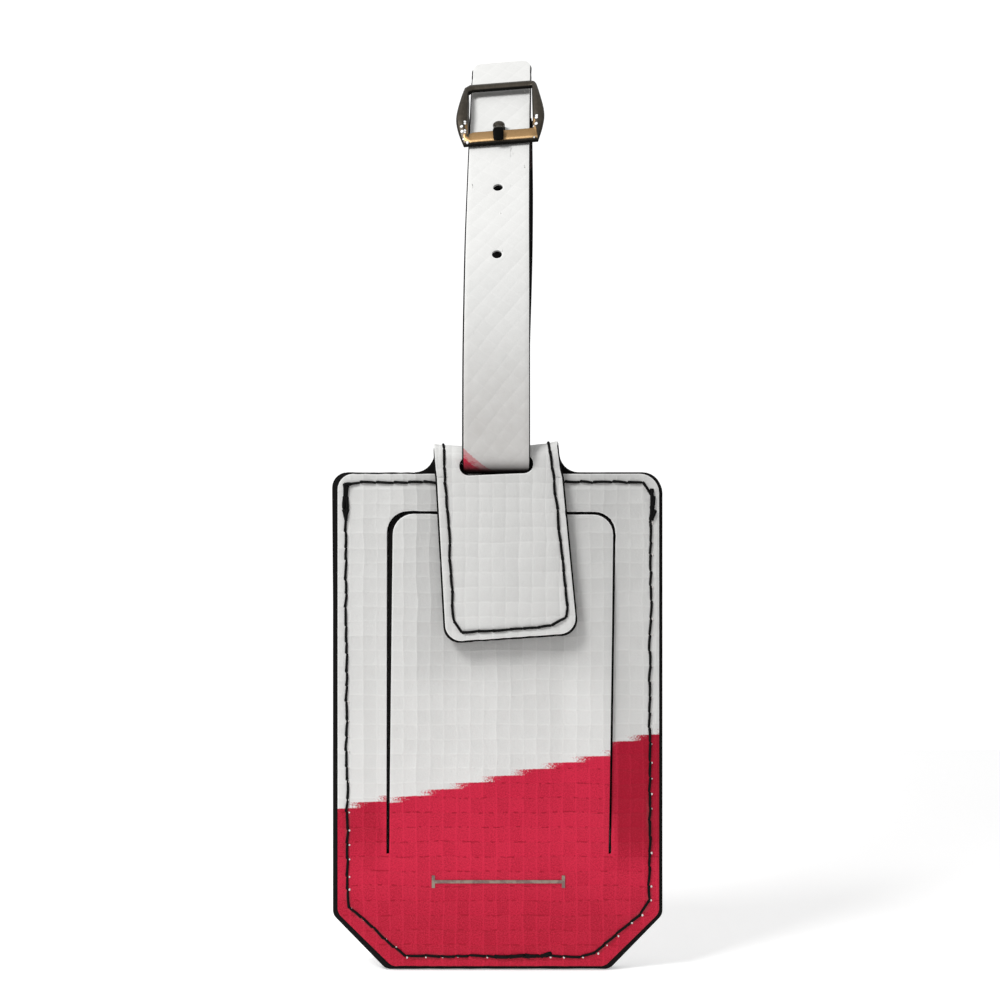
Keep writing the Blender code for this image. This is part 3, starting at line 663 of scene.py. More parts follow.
class Nodes:
    """A short way to build the nodes of a material, or of another owner with its own shader."""

    def __init__(self, name, owner=None, shader="Principled BSDF"):
        self.material = owner or bpy.data.materials.new(name)
        self.material.use_nodes = True
        self.tree = self.material.node_tree
        self.shader = self.tree.nodes[shader]

    def put(self, socket, value):
        if isinstance(value, Value):
            self.tree.links.new(value.socket, socket)
        elif isinstance(value, tuple) and len(socket.default_value) == 4:
            socket.default_value = (*value, 1)
        elif value is not None:
            socket.default_value = value

    def node(self, kind, output, inputs, **settings):
        """Adds a node with these inputs, by name or number, and gives one of its outputs."""
        made = self.tree.nodes.new(kind)
        for key, value in settings.items():
            setattr(made, key, value)
        for key, value in inputs.items():
            self.put(made.inputs[key], value)
        return Value(self, made.outputs[output])

    def math(self, operation, *values):
        return self.node("ShaderNodeMath", 0, dict(enumerate(values)), operation=operation)

    def larger(self, a, b):
        return self.math("MAXIMUM", a, b)

    def below(self, value, limit):
        return self.math("LESS_THAN", value, limit)

    def vector(self, operation, a, b=None, scale=None, output="Vector"):
        inputs = {0: a, 1: b, 3: scale}
        return self.node("ShaderNodeVectorMath", output, inputs, operation=operation)

    def attribute(self, name, output="Vector"):
        return self.node("ShaderNodeAttribute", output, {}, attribute_name=name)

    def place(self):
        """Where on its object a point is, in metres."""
        return self.node("ShaderNodeTexCoord", "Object", {})

    def split(self, vector):
        made = self.node("ShaderNodeSeparateXYZ", 0, {0: vector}).socket.node
        return [Value(self, output) for output in made.outputs]

    def join(self, x, y, z=0.0):
        return self.node("ShaderNodeCombineXYZ", 0, {0: x, 1: y, 2: z})

    def noise(self, vector, scale, detail=2.0, roughness=0.5):
        inputs = {"Vector": vector, "Scale": scale, "Detail": detail, "Roughness": roughness}
        return self.node("ShaderNodeTexNoise", "Fac", inputs)

    def speck(self, vector):
        return self.node("ShaderNodeTexWhiteNoise", "Value", {"Vector": vector})

    def step(self, value, start, end):
        """Changes smoothly from 0 at start to 1 at end, which may be the smaller of the two."""
        inputs = {"Value": value, "From Min": start, "From Max": end}
        return self.node("ShaderNodeMapRange", "Result", inputs, interpolation_type="SMOOTHSTEP")

    def mix(self, share, a, b):
        """One colour with a share of another."""
        return self.node("ShaderNodeMix", 2, {0: share, 6: a, 7: b}, data_type="RGBA")

    def bump(self, height, strength, distance, normal=None):
        inputs = {"Height": height, "Strength": strength, "Distance": distance, "Normal": normal}
        return self.node("ShaderNodeBump", 0, inputs)

    def set(self, **values):
        for key, value in values.items():
            self.put(self.shader.inputs[key.replace("_", " ")], value)


WHITE = (0.80, 0.80, 0.785)
CRIMSON = (0.68, 0.018, 0.062)
DEEP_CRIMSON = (0.38, 0.002, 0.022)
CELL = (2.9, 3.2)


def vinyl(name, printed=None, turn=0.0, cell=CELL, origin=(0.4, 0.9), relief=1.0, painted_shade_from=None, shade_span=None):
    """Coated billboard vinyl: shallow cells over a woven scrim, white, with crimson print where printed says.

    It has painted shade past a place along it, if that is given: grey towards the slot, and black where it bends
    into the slot and on the wrapped end. Its columns have painted shade, darker under and beside a raised part
    over it, if its place is given (from x, to x, lowest s).
    """
    m = Nodes(name)
    x, depth, s = m.split(m.attribute("flat"))
    plane = m.join(x, s)
    sway = (m.noise(plane, 0.09, 1.0) - 0.5) * 1.1
    c, d = math.cos(turn), math.sin(turn)
    u = (x * c + s * d + sway + origin[0]) / cell[0]
    v = (s * c - x * d - sway + origin[1]) / cell[1]
    column, row = u.floor(), v.floor()
    to_u, to_v = abs(u.fraction() - 0.5), abs(v.fraction() - 0.5)
    warp, weft = m.step(to_u, 0.40, 0.49), m.step(to_v, 0.40, 0.49)
    pillow = (to_u * 2.0) ** 3.0 + (to_v * 2.0) ** 3.0
    cells, columns = m.speck(m.join(column, row)), m.speck(m.join(column, 7.0))
    grain, cloud = m.noise(plane, 2.3, 3.0, 0.6), m.noise(plane, 0.35, 2.0)
    # every cell and column has a slight shade of its own, and the scrim's threads show paler
    darker = cells * (0.04 * relief) + columns * (0.055 * relief) - m.larger(warp, weft) * (0.045 * relief)
    darker = darker + (grain + cloud) * 0.035
    # painted shade: columns darker under and beside a raised part, fading away from its edges, above the given lowest
    # s
    if shade_span:
        left, right, low = shade_span
        middle = (column + 0.5) * cell[0] - origin[0]
        beside = m.step(middle, left - 11.0, left) * m.step(middle, right + 17.0, right)
        darker = darker + beside * m.step(s, low - 13.0, low) * 0.15
    white = m.vector("SCALE", WHITE, scale=1.05 - darker)
    # the cut edge shows the white core, with a painted light rim over its outer half, and its lower half is grey
    rim = m.attribute("rim", "Fac")
    cut = m.step(rim, 0.3, 0.12) * m.step(depth, 0.34, 0.2)
    colour = m.mix(cut * 0.6, white, (0.93, 0.93, 0.92))
    # painted shade: the strap greys towards the slot, from 34 mm before the given place onwards
    if painted_shade_from:
        colour = m.mix(m.step(s, painted_shade_from - 34, painted_shade_from) * (cloud * 0.3 + 0.16), colour, (0.46, 0.42, 0.39))
    if printed:
        # the ink is thin where the scrim's threads stand up, and gathers in broken lines beside the weft
        broken = m.step(to_v, 0.42, 0.48) * m.step(m.noise(plane, 0.8, 2.0), 0.5, 0.6)
        deep = (m.noise(plane, 4.2, 2.0, 0.6) - 0.4) * 2.2 + (grain - 0.45) * 0.9
        deep = (deep + broken * 0.65 + (cells - 0.5) * 0.2 - warp * 0.3).clamped()
        # painted shade: the front's crimson is darker beside the cover, most of all on the right, and towards its foot
        sides = m.step(x, 24.6, 26.6) * 0.75 + m.step(x, -24.2, -26.2) * 0.42
        deep = (deep + (sides * m.step(s, 18.0, 32.0) + m.step(s, 28.0, 6.0) * 0.45)).clamped()
        colour = m.mix(printed(m, x, s), colour, m.mix(deep, CRIMSON, DEEP_CRIMSON))
    core = m.step(depth, 0.2, 0.36) * m.step(rim, 0.25, 0.05)
    colour = m.mix(core * 0.85, colour, (0.42, 0.42, 0.41))
    colour = m.mix(m.step(m.attribute("seam", "Fac"), 0.8, 0.2) * 0.12, colour, (0.25, 0.22, 0.2))
    if painted_shade_from:
        # painted shade: black where it bends in the slot, and on the wrapped end between the strap's legs
        bend = painted_shade_from + 1.1
        dark = m.step(s, bend + 1.6, bend + 5.4) * m.step(s, bend + 15.0, bend + 10.0)
        dark = m.larger(dark, m.step(s, STRAP_LENGTH - 11.5, STRAP_LENGTH - 9.5))
        colour = m.mix(dark * 0.96, colour, (0.02, 0.012, 0.012))
    m.set(Base_Color=colour, Roughness=grain * 0.25 + 0.42, Specular_IOR_Level=0.22)
    normal = m.bump(grain, 0.6 * relief, 0.00009, m.bump(pillow, 0.9 * relief, 0.00007))
    m.set(Normal=m.bump(cloud, 0.3, 0.0003, normal))
    return m.material


def field_of_print(start, wide, low, high):
    """The crimson field: steps from (start, low) that climb to the right, grown out of scattered specks."""

    def printed(m, x, s):
        along = (x - start) / wide
        share = along.fraction()
        edge = along.floor() * high + low
        level = s - (x - start) * 0.035
        ragged = m.noise(m.join(x, s), 1.7, 4.0, 0.75)
        past = edge - level + (ragged - 0.5) * 0.45
        # the band above the step fills with specks towards the next step
        band = m.step(past, -high - 0.12, 0.12 - high)
        fine = m.noise(m.join(x, s), 2.6, 3.0, 0.7)
        specks = (share - 0.58) * 2.6 + (fine - 0.5) * 4.2
        specks = m.step(specks, -0.1, 1.3) * band * m.step(share, 0.3, 0.5)
        # and a few pale specks are left in the first stretch of each step
        pale = m.step(share, 0.3, 0.0) * m.step(past, high, 0.3) * m.step(fine, 0.5, 0.68)
        return m.larger((m.step(past, -0.12, 0.12) - pale * 0.7).clamped(), specks)

    return printed


def strap_print(m, x, s):
    """The strap's print: crimson past a slanting edge near the slot, through a half-tone band."""
    wobble = m.noise(m.join(x, s), 1.3, 3.0, 0.7)
    past = s - ((x + STRAP_HALF) * 0.92 + CRIMSON_FROM) + (wobble - 0.5)
    half = m.step(past * 0.3 + (wobble - 0.5) * 3.0, 0.2, 0.6) * 0.75
    tone = m.step(past, 0.0, 0.3) * 0.55
    return m.larger(m.step(past, 1.6, 2.4), m.larger(tone, half) * m.step(past, -0.1, 0.2))


def lining_material():
    m = Nodes("black_lining")
    flat = m.attribute("flat")
    grain = m.noise(flat, 1.9, 5.0, 0.65)
    fibres = m.noise(m.vector("MULTIPLY", flat, (1.0, 1.0, 3.2)), 3.0, 3.0)
    m.set(Base_Color=m.mix(grain, (0.002, 0.002, 0.002), (0.011, 0.01, 0.01)))
    m.set(Roughness=fibres * 0.25 + 0.62, Specular_IOR_Level=0.1)
    m.set(Normal=m.bump(fibres, 0.5, 0.00006, m.bump(grain, 0.4, 0.0001)))
    return m.material


def thread_material():
    m = Nodes("bonded_thread")
    turn, around, _ = m.split(m.attribute("winding"))
    strand = abs((turn * 3.0).fraction() - 0.5)
    hair = m.noise(m.join(turn * 40.0, around * 40.0), 1.0, 2.0)
    m.set(Base_Color=m.mix(strand, (0.001, 0.001, 0.001), (0.008, 0.008, 0.008)))
    m.set(Roughness=hair * 0.2 + 0.5, Specular_IOR_Level=0.12)
    m.set(Normal=m.bump(strand, 0.7, 0.0001))
    return m.material


# painted highlights: white glints on the arms, as (across, along, radius), in the buckle's own axes
PAINTED_GLINTS = (
    (-8.3, -5.1, 0.36),
    (-8.3, -5.7, 0.34),
    (-9.1, -6.5, 0.4),
    (-9.0, -7.9, 0.4),
    (-8.3, -7.7, 0.34),
    (-8.3, -8.3, 0.3),
    (-8.75, -10.0, 0.24),
    (-7.8, -11.0, 0.34),
    (8.65, -4.9, 0.4),
    (8.6, -5.5, 0.42),
    (8.5, -7.3, 0.44),
    (7.8, -7.8, 0.26),
    (7.9, -11.0, 0.22),
)


def gunmetal():
    """Dark plated metal with drawn streaks and painted white glints; where its attributes say, it shows brass, partly
    as a painted warm reflection, and is painted black as shade.
    """
    m = Nodes("gunmetal")
    local = m.attribute("local")
    worn, dull = m.attribute("worn", "Fac"), m.attribute("dull", "Fac")
    x, along, off = m.split(local)
    streaks = m.noise(m.join(x * 7.0, along * 0.7, off), 1.0, 4.0, 0.65)
    nicks = m.noise(local, 4.0, 4.0, 0.7)
    plate = m.mix(m.noise(local, 0.7, 3.0), (0.10, 0.086, 0.068), (0.05, 0.044, 0.036))
    plate = m.mix(m.step(streaks, 0.5, 0.75) * 0.4, plate, (0.19, 0.165, 0.13))
    # wear shows brass, which also stands in as a painted warm reflection on the lower bar's flat
    brass = m.mix(nicks, (0.42, 0.265, 0.125), (0.26, 0.155, 0.07))
    # painted highlight: a lighter line along the lower bar's bottom edge
    brass = m.mix(m.step(along, -10.4, -10.8), brass, (0.70, 0.46, 0.23))
    shown = m.mix(m.step(worn + (nicks - 0.5) * 0.3, 0.45, 0.6), plate, brass)
    # painted highlights: each glint is ringed by darker metal
    place = m.join(x + (nicks - 0.5) * 0.2, along)
    glint = 0.0
    for across, at, radius in PAINTED_GLINTS:
        apart = m.vector("DISTANCE", place, (across, at, 0.0), output="Value")
        shown = m.mix(m.step(apart, radius * 1.8, radius) * 0.6, shown, (0.03, 0.025, 0.02))
        glint = m.larger(glint, m.step(apart, radius, radius * 0.7))
    # painted highlight: the glints are plain white and not metallic, so they show white under any light
    shown = m.mix(glint, shown, (1.0, 1.0, 1.0))
    m.set(Base_Color=m.mix(dull, shown, (0.004, 0.004, 0.004)), Roughness=(streaks + nicks) * 0.14 + 0.26)
    m.set(Metallic=(1.0 - glint - dull).clamped(), Specular_IOR_Level=0.5 - dull * 0.5)
    m.set(Normal=m.bump(nicks, 0.25, 0.00006, m.bump(streaks, 0.35, 0.00005)))
    return m.material


def film_material():
    m = Nodes("clear_film")
    place = m.place()
    m.set(Base_Color=(0.9, 0.93, 0.95), Alpha=0.1, Roughness=m.noise(place, 60.0, 3.0) * 0.22)
    m.set(Normal=m.bump(m.noise(place, 35.0, 2.0), 0.25, 0.0008))
    return m.material


def card_material():
    """Uncoated card with printed rules to write on."""
    m = Nodes("card_stock")
    place = m.place()
    x, _, z = m.split(place)
    x, z = x * 1000.0, z * 1000.0 + 147.0
    line = m.below(abs((z / 9.0).fraction() - 0.5), 0.018)
    rules = line * m.below(abs(x), 19.0) * m.below(abs(z - 51.0), 30.0)
    fibre = m.noise(place, 900.0, 4.0, 0.7)
    paper = m.mix(fibre, (0.80, 0.78, 0.72), (0.72, 0.70, 0.64))
    m.set(Base_Color=m.mix(rules * 0.8, paper, (0.2, 0.22, 0.25)), Roughness=0.75)
    m.set(Normal=m.bump(fibre, 0.2, 0.00005))
    return m.material


def foil_material():
    m = Nodes("foil")
    place = m.place()
    grain, worn = m.noise(place, 1500.0, 3.0, 0.7), m.noise(place, 420.0, 4.0, 0.7)
    m.set(Base_Color=m.mix(m.step(worn, 0.42, 0.62), (0.36, 0.30, 0.25), (0.20, 0.13, 0.12)))
    m.set(Metallic=m.step(worn, 0.68, 0.45), Roughness=grain * 0.3 + 0.28)
    m.set(Normal=m.bump(grain, 0.3, 0.00003))
    return m.material


def burr_material():
    m = Nodes("torn_coating")
    m.set(Base_Color=(0.72, 0.68, 0.66), Roughness=0.6)
    return m.material


def paint(obj, material, slot):
    obj.data.materials.clear()
    obj.data.materials.append(material)
    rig.slot(obj, slot)
    return obj


# ---------------------------------------------------------------- stage
def camera_and_stage():
    data = bpy.data.cameras.new("camera")
    data.lens, data.sensor_width = 57.9, 36.0
    data.clip_start, data.clip_end = 0.01, 20
    camera = link(bpy.data.objects.new("camera", data))
    camera.location = (0.00035, -0.3603, -0.0447)
    camera.rotation_euler = (math.pi / 2, 0, 0)
    bpy.context.scene.camera = camera

    half, near, far, height = 0.3, -0.12, 0.3, world([(0, 0, -0.15)])[0][2]
    corners = [(-half, near, height), (half, near, height), (half, far, height), (-half, far, height)]
    mesh = bpy.data.meshes.new("studio_floor")
    mesh.from_pydata(corners, [], [(0, 1, 2, 3)])
    floor = new_object("studio_floor", mesh)
    m = Nodes("studio_floor")
    m.set(Base_Color=(0.93, 0.93, 0.93), Roughness=0.9)
    m.set(Emission_Color=(1.0, 1.0, 1.0), Emission_Strength=0.36)
    mesh.materials.append(m.material)
    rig.stage(floor)

    # a room that is brighter above, in front of a white backdrop
    studio = bpy.data.worlds.new("studio")
    bpy.context.scene.world = studio
    m = Nodes("studio", studio, "Background")
    up = m.split(m.node("ShaderNodeTexCoord", "Generated", {}))[2]
    span = {"From Min": -0.1, "From Max": 0.9, "To Min": 0.25, "To Max": 0.67}
    room = m.node("ShaderNodeMapRange", "Result", {"Value": up, **span})
    seen = m.node("ShaderNodeLightPath", "Is Camera Ray", {})
    strength = m.node("ShaderNodeMapRange", "Result", {"Value": seen, "To Min": room, "To Max": 1.1})
    m.set(Color=(1.0, 1.0, 1.0), Strength=strength)

    light = bpy.data.lights.new("key", "AREA")
    light.shape, light.size, light.energy = "DISK", 0.16, 1.62
    key = link(bpy.data.objects.new("key", light))
    key.location = (-0.26, -0.24, 0.3)
    key.rotation_euler = (Vector((0, 0, -0.04)) - key.location).to_track_quat("-Z", "Y").to_euler()
    bpy.context.scene.view_settings.view_transform = "Standard"


# ---------------------------------------------------------------- the holder
SEAM_CORNERS = [(x, z, max(r - 1, 1.2)) for x, z, r in holder_corners(-SEAM_INSET, -SEAM_INSET)]
# the cuts of the cover: one line in the linings, and a wider gap where the vinyl has drawn back
OPENING = [(-24.37, HINGE_Z, 0), (24.5, HINGE_Z, 0), (25.55, 99.7, 4.6), (-24.25, 99.9, 4.6)]
COVER = [(-23.76, HINGE_Z, 0), (24.0, HINGE_Z, 0), (25.0, 99.1, 4.3), (-22.95, 99.3, 4.5)]
LINING_CUT = [(-24.2, HINGE_Z, 0), (24.3, HINGE_Z, 0), (25.4, 99.3, 4.4), (-24.1, 99.5, 4.4)]
LINING_COVER = [(-24.08, HINGE_Z, 0), (24.18, HINGE_Z, 0), (25.28, 99.18, 4.3), (-23.98, 99.38, 4.3)]


def on_cover(y):
    """The cover's sheets, whose free corners have sprung forward a little."""

    def route(flat):
        x, depth, s = flat.T
        up = smoothstep((s - HINGE_Z) / 14) * smoothstep((106 - s) / 30)
        spring = up * (1.05 * smoothstep((x - 12) / 12) + 0.35 * smoothstep((-x - 12) / 14))
        return np.stack([x, y + depth - spring, s], axis=1)

    return route


def bend_between(y, start_z, end_z):
    """Where the bend of a blended piece starts and ends."""
    start, end = world([(0, y, start_z), (0, y, end_z)])
    return {"start": tuple(start), "end": tuple(end)}


def declare(piece, outline, holes=(), held="stretched", rests_on=()):
    """Says what the sheet was cut to before it was sewn."""
    xs, ys = zip(*[tuple(p) for p in outline])
    wide, long = (max(xs) - min(xs)) * MM, (max(ys) - min(ys)) * MM
    area = (polygon_area(outline) - sum(polygon_area(h) for h in holes)) * MM * MM
    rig.sheet(piece, flat=(wide, long), area=min(area, wide * long), held=held, rests_on=list(rests_on))


def build_holder(finishes):
    joined = [HINGE_Z]
    outline, hole, seam = rounded(holder_corners()), rounded(OPENING), rounded(SEAM_CORNERS, 4)
    front = cut_sheet("front_vinyl", [outline, hole], VINYL, 1.5, joined=joined)
    lay(front, on_plane(FRONT_Y), [outline, hole], [[*seam, seam[0]]], wave=0.05, joined=joined)
    paint(front, finishes["front"], "printed_vinyl")
    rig.ride(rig.replaces(front, "front_panel"), "holder")
    declare(front, outline, [hole], rests_on=["front_backing"])

    outline = rounded([(x - 0.3 * (x < 0), z, r) for x, z, r in holder_corners(LINING_RIM)])
    gap = rounded(LINING_CUT)
    backing = cut_sheet("front_backing", [outline, gap], LINING, 3.0, LINING_SOFT, joined)
    lay(backing, on_plane(LINING_Y), [outline])
    paint(backing, finishes["lining"], "black_lining")
    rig.ride(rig.replaces(backing, "front_lining"), "holder")
    declare(backing, outline, [gap])

    bend = bend_between(FRONT_Y, HINGE_Z, HINGE_Z + 3)
    vinyl_layer = ("cover_vinyl", "privacy_cover", COVER, FRONT_Y, SOFT, 0.05, "cover", "printed_vinyl")
    lining_layer = ("cover_backing", "cover_lining", LINING_COVER, LINING_Y, LINING_SOFT, 0.0, "lining")
    for name, cad, corners, y, soft, wave, finish, slot, under in (
        (*vinyl_layer, "front_backing"),
        (*lining_layer, "black_lining", "window_sheet"),
    ):
        shape = rounded(corners)
        cover = cut_sheet(name, [shape], VINYL, 1.1, soft, joined)
        lay(cover, on_cover(y), [shape], wave=wave, joined=joined)
        paint(cover, finishes[finish], slot)
        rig.replaces(cover, cad)
        declare(cover, shape, held="laid", rests_on=[under])
        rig.blend(cover, "holder", "cover", **bend)


# ---------------------------------------------------------------- the back, the fold and the tab
SPLIT_Z = 107.2  # where the tab's sheets part from the back's
TAB_BEND = (FOLD_Y - FOLD_OUTER, SPLIT_Z, 103.4)
TAB_INSET = 0.42  # how far the vinyl is drawn in from its lining
TAB_CORNER, NECK_TOP, FRONT_NECK_Z = 3.5, 117.0, 109.0


def folded_outlines():
    """The folded sheet in flat coordinates, in two parts: the back with its neck and fold, and the tab."""
    low_left, low_right, right, top_right, top_left, left = holder_corners(LINING_RIM, 0.4, 0.7)
    shoulder, split, front = top_right[1], front_s(SPLIT_Z), front_s(FRONT_NECK_Z)
    (tab_left, _), (foot_left, left_z), (foot_right, right_z), (tab_right, _) = TAB_EDGES
    neck = [(NECK_RIGHT + 0.9, shoulder, NECK_FILLET), (NECK_RIGHT, NECK_TOP, 0), (13.75, front, 0)]
    neck += [(tab_right, split, 0), (tab_left, split, 0)]
    neck += [(-13.95, front, 0), (NECK_LEFT, NECK_TOP, 0), (NECK_LEFT, shoulder, NECK_FILLET)]
    foot = [(foot_right, front_s(right_z), TAB_CORNER), (foot_left, front_s(left_z), TAB_CORNER)]
    back = [low_left, low_right, right, top_right, *neck, top_left, left]
    return rounded(back), rounded([(tab_left, split, 0), (tab_right, split, 0), *foot])


def seam_of_tab():
    """The stitch line round the tab, in flat coordinates."""
    (left_x, left_z), (foot_left, low_left), (foot_right, low_right), (right_x, right_z) = TAB_EDGES
    corners = [
        (left_x + SEAM_INSET, front_s(left_z), 0),
        (foot_left + SEAM_INSET, front_s(low_left + SEAM_INSET), 2.4),
        (foot_right - SEAM_INSET, front_s(low_right + SEAM_INSET), 2.4),
        (right_x - SEAM_INSET, front_s(right_z), 0),
    ]
    return rounded(corners, 4)


def seams_of_neck(tab_seam):
    """The stitch lines that climb the neck, go over the fold and run on into the tab's."""
    front = front_s(FRONT_NECK_Z)
    left, right = NECK_LEFT + SEAM_INSET, NECK_RIGHT - SEAM_INSET
    return [
        [(left, 107.6), (left, 116), (-11.72, front), tuple(tab_seam[0])],
        [(right + 0.4, 107.6), (right, 116), (11.75, front), tuple(tab_seam[-1])],
    ]


def strap_slot(narrower, shorter, x):
    """The slot's two ends in the folded sheet, behind and in front."""
    low, high = SLOT_Z
    turn = math.asin((high - FOLD_Z) / FOLD_MIDDLE) * FOLD_MIDDLE
    ends = []
    for start, end, half_wide, tilt in (
        (low + 0.65, FOLD_Z + turn, SLOT_HALF - 1.25 * narrower, 0.0),
        (FOLD_END - turn, front_s(low), SLOT_HALF - narrower, math.radians(-2.4)),
    ):
        ends.append(capsule(half_wide, (end - start) / 2 - shorter, x, (start + end) / 2, tilt))
    return ends


def inset_tab(outline):
    """The tab's outline drawn in at its sides and foot, but not where it joins the back's sheet."""
    middle = (TAB_EDGES[1][0] + TAB_EDGES[2][0]) / 2
    lowest = front_s(TAB_EDGES[2][1]) - 6
    drawn = []
    for p in outline:
        drawn.append(Vector((p.x + math.copysign(TAB_INSET, middle - p.x), p.y - TAB_INSET * (p.y > lowest))))
    return drawn


def inset_neck(outline):
    """The back's outline with only the front end of its neck drawn in at the sides."""
    drawn = []
    for p in outline:
        share = float(smoothstep((p.y - 115.0) / 5.0))
        drawn.append(Vector((p.x - math.copysign(TAB_INSET * share, p.x), p.y)))
    return drawn


def build_folded(finishes):
    back, tab = folded_outlines()
    tab_seam = seam_of_tab()
    neck = seams_of_neck(tab_seam)
    low_left, low_right, right, top_right, top_left, left = SEAM_CORNERS
    rear_seam = rounded([(*top_left[:2], 0), left, low_left, low_right, right, (*top_right[:2], 0)], 4)
    # the lining closes in round the strap, so the slot's ends are black
    slot, lining_slot = strap_slot(0, 0, SLOT_X), strap_slot(0.43, 0.2, SLOT_X - 0.07)
    joined = [front_s(SPLIT_Z)]
    for name, cad, outline, holes, seams in (
        ("back_vinyl", "back_panel", inset_neck(back), slot, [rear_seam, *neck]),
        ("back_backing", "back_lining", back, lining_slot, []),
        ("tab_vinyl", "tab_face", inset_tab(tab), [], [tab_seam]),
        ("tab_backing", "tab_lining", tab, [], []),
    ):
        of_back, vinyl_ply = name.startswith("back_"), name.endswith("_vinyl")
        sheet = cut_sheet(name, [outline, *holes], VINYL, 1.5 if of_back else 1.1, joined=joined)
        under = 0.0 if vinyl_ply else VINYL + GAP
        lay(sheet, on_fold, [outline, *holes], seams, joined=joined, under=under)
        if vinyl_ply:
            paint(sheet, finishes["back"], "white_vinyl")
        else:
            paint(sheet, finishes["lining"], "black_lining")
        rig.replaces(sheet, cad)
        if of_back:
            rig.ride(sheet, "holder")
            declare(sheet, outline, holes, "folded")
        else:
            declare(sheet, outline, holes, "hung")
            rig.blend(sheet, "holder", "tab", **bend_between(*TAB_BEND))
    return rear_seam, neck, tab_seam


# ---------------------------------------------------------------- the holder's seams
EDGE_PITCH, EDGE_SEED = 3.4, 11
BACK_TACKS = [
    [(-33.6, 105.7), (-33.35, 98.0)],
    [(-32.9, 105.6), (-33.05, 97.6)],
    [(-33.4, 105.4), (-31.9, 105.9)],
    [(33.5, 104.6), (33.2, 97.8)],
    [(33.9, 103.2), (33.6, 98.6)],
    [(33.2, 98.0), (34.3, 100.0)],
    [(-1.0, 3.15), (9.0, 3.0)],
    [(9.4, 3.1), (11.4, 3.9)],
]


def needle_burrs(path):
    """Small lumps of torn coating beside the needle's holes, at the ends of the edge's stitches."""
    rng = random.Random(EDGE_SEED + 1)
    points, lengths = measured([*path, path[0]])
    marks = stitch_marks(lengths[-1], EDGE_PITCH, random.Random(EDGE_SEED))
    work = bmesh.new()
    for mark in marks[:-1]:
        if rng.random() < 0.12:
            continue
        x, z = (np.interp(mark, lengths, points[:, k]) for k in (0, 1))
        if z > 60 and x < 30:
            continue
        size = rng.uniform(0.13, 0.24)
        at = (x + rng.uniform(0.36, 0.5), FRONT_Y - 0.03, z + rng.uniform(-0.35, 0.0))
        spot = Matrix.Translation(Vector(at)) @ Matrix.Diagonal((size, size * 0.8, size * 1.2, 1))
        bmesh.ops.create_icosphere(work, subdivisions=2, radius=1, matrix=spot)
    mesh = written(work, bpy.data.meshes.new("needle_burrs"))
    set_coordinates(mesh, world(coordinates(mesh)))
    return shade(new_object("needle_burrs", mesh), 80)


def inside_of_front(flat):
    """The back of the front lining, where depth is measured towards the front."""
    return np.stack([flat[:, 0], LINING_Y + LINING - flat[:, 1], flat[:, 2]], axis=1)


def under_tab(flat):
    """The tab's inner face, where depth is measured outwards."""
    turned = flat.copy()
    turned[:, 1] = VINYL + GAP + LINING - flat[:, 1]
    return on_fold(turned)


def build_seams(rear_seam, neck, tab_seam, finishes):
    low_left, low_right, right, _, _, left = SEAM_CORNERS
    top = [(-33.3, 105.7, 0), (-32.6, 106.1, 0), (31.2, 106.2, 0), (33.25, 104.1, 0), (33.0, 60.0, 0)]
    edge_path = rounded([*top, right, low_right, low_left, left], 4)
    on_front, mouth_path = on_plane(FRONT_Y), [(-31.8, 105.8), (31.8, 105.8)]
    edge = stitch_run(
        "edge_stitches", [edge_path], on_front, EDGE_PITCH, EDGE_SEED, closed=True, slant=-0.16, jitter=0.18
    )
    tacks = stitch_run("back_tack_stitches", BACK_TACKS, on_front, 2.9, 5, radius=0.4, proud=0.16)
    mouth = stitch_run("mouth_stitches", [mouth_path], inside_of_front, 3.4, 3, radius=0.16, proud=-0.02)
    burrs = needle_burrs(edge_path)
    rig.ride(paint(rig.replaces(burrs), finishes["burr"], "printed_vinyl"), "holder")

    rear = stitch_run("rear_stitches", [rear_seam], on_fold, 3.4, 23, jitter=0.1)
    left_neck = stitch_run("neck_stitches_left", [neck[0]], on_fold, 3.1, 31, proud=0.02)
    right_neck = stitch_run("neck_stitches_right", [neck[1]], on_fold, 3.1, 37, proud=0.02)
    for run, nodes in (
        (edge, ["edge_thread_front"]),
        (tacks, []),
        (mouth, ["mouth_thread"]),
        (rear, ["edge_thread_back"]),
        (left_neck, ["neck_thread_left"]),
        (right_neck, ["neck_thread_right"]),
    ):
        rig.replaces(run, *nodes)
        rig.ride(paint(run, finishes["thread"], "sewing_thread"), "holder")

    for name, cad, path, route, proud in (
        ("tab_stitches", "tab_thread_front", tab_seam, on_fold, 0.1),
        ("tab_rear_stitches", "tab_thread_back", tab_seam[1:-1], under_tab, 0.02),
    ):
        run = stitch_run(name, [path], route, 3.3, 41, proud=proud)
        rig.replaces(run, cad)
        paint(run, finishes["thread"], "sewing_thread")
        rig.blend(run, "holder", "tab", **bend_between(*TAB_BEND))


# ---------------------------------------------------------------- the strap
def slot_round_bar():
    """s of the two ends of the slot that lets the prong through where the strap goes round the bar."""
    middle = STRAP_LINE - STRAP_NORMAL * PLY
    along, off = (middle - BAR) @ ALONG, (middle - BAR) @ OUT
    in_slot = (along > -4.2) & (along < 2.65) & (off > -3.4) & (off < 2.6) & (STRAP_S > 120)
    return STRAP_S[in_slot].min(), STRAP_S[in_slot].max()


# s of the strap's crimson print, which starts just above the slot
CRIMSON_FROM = FREE_LENGTH + ARC_RADIUS * ARC_TURN + ARC_START_Z - 113.9


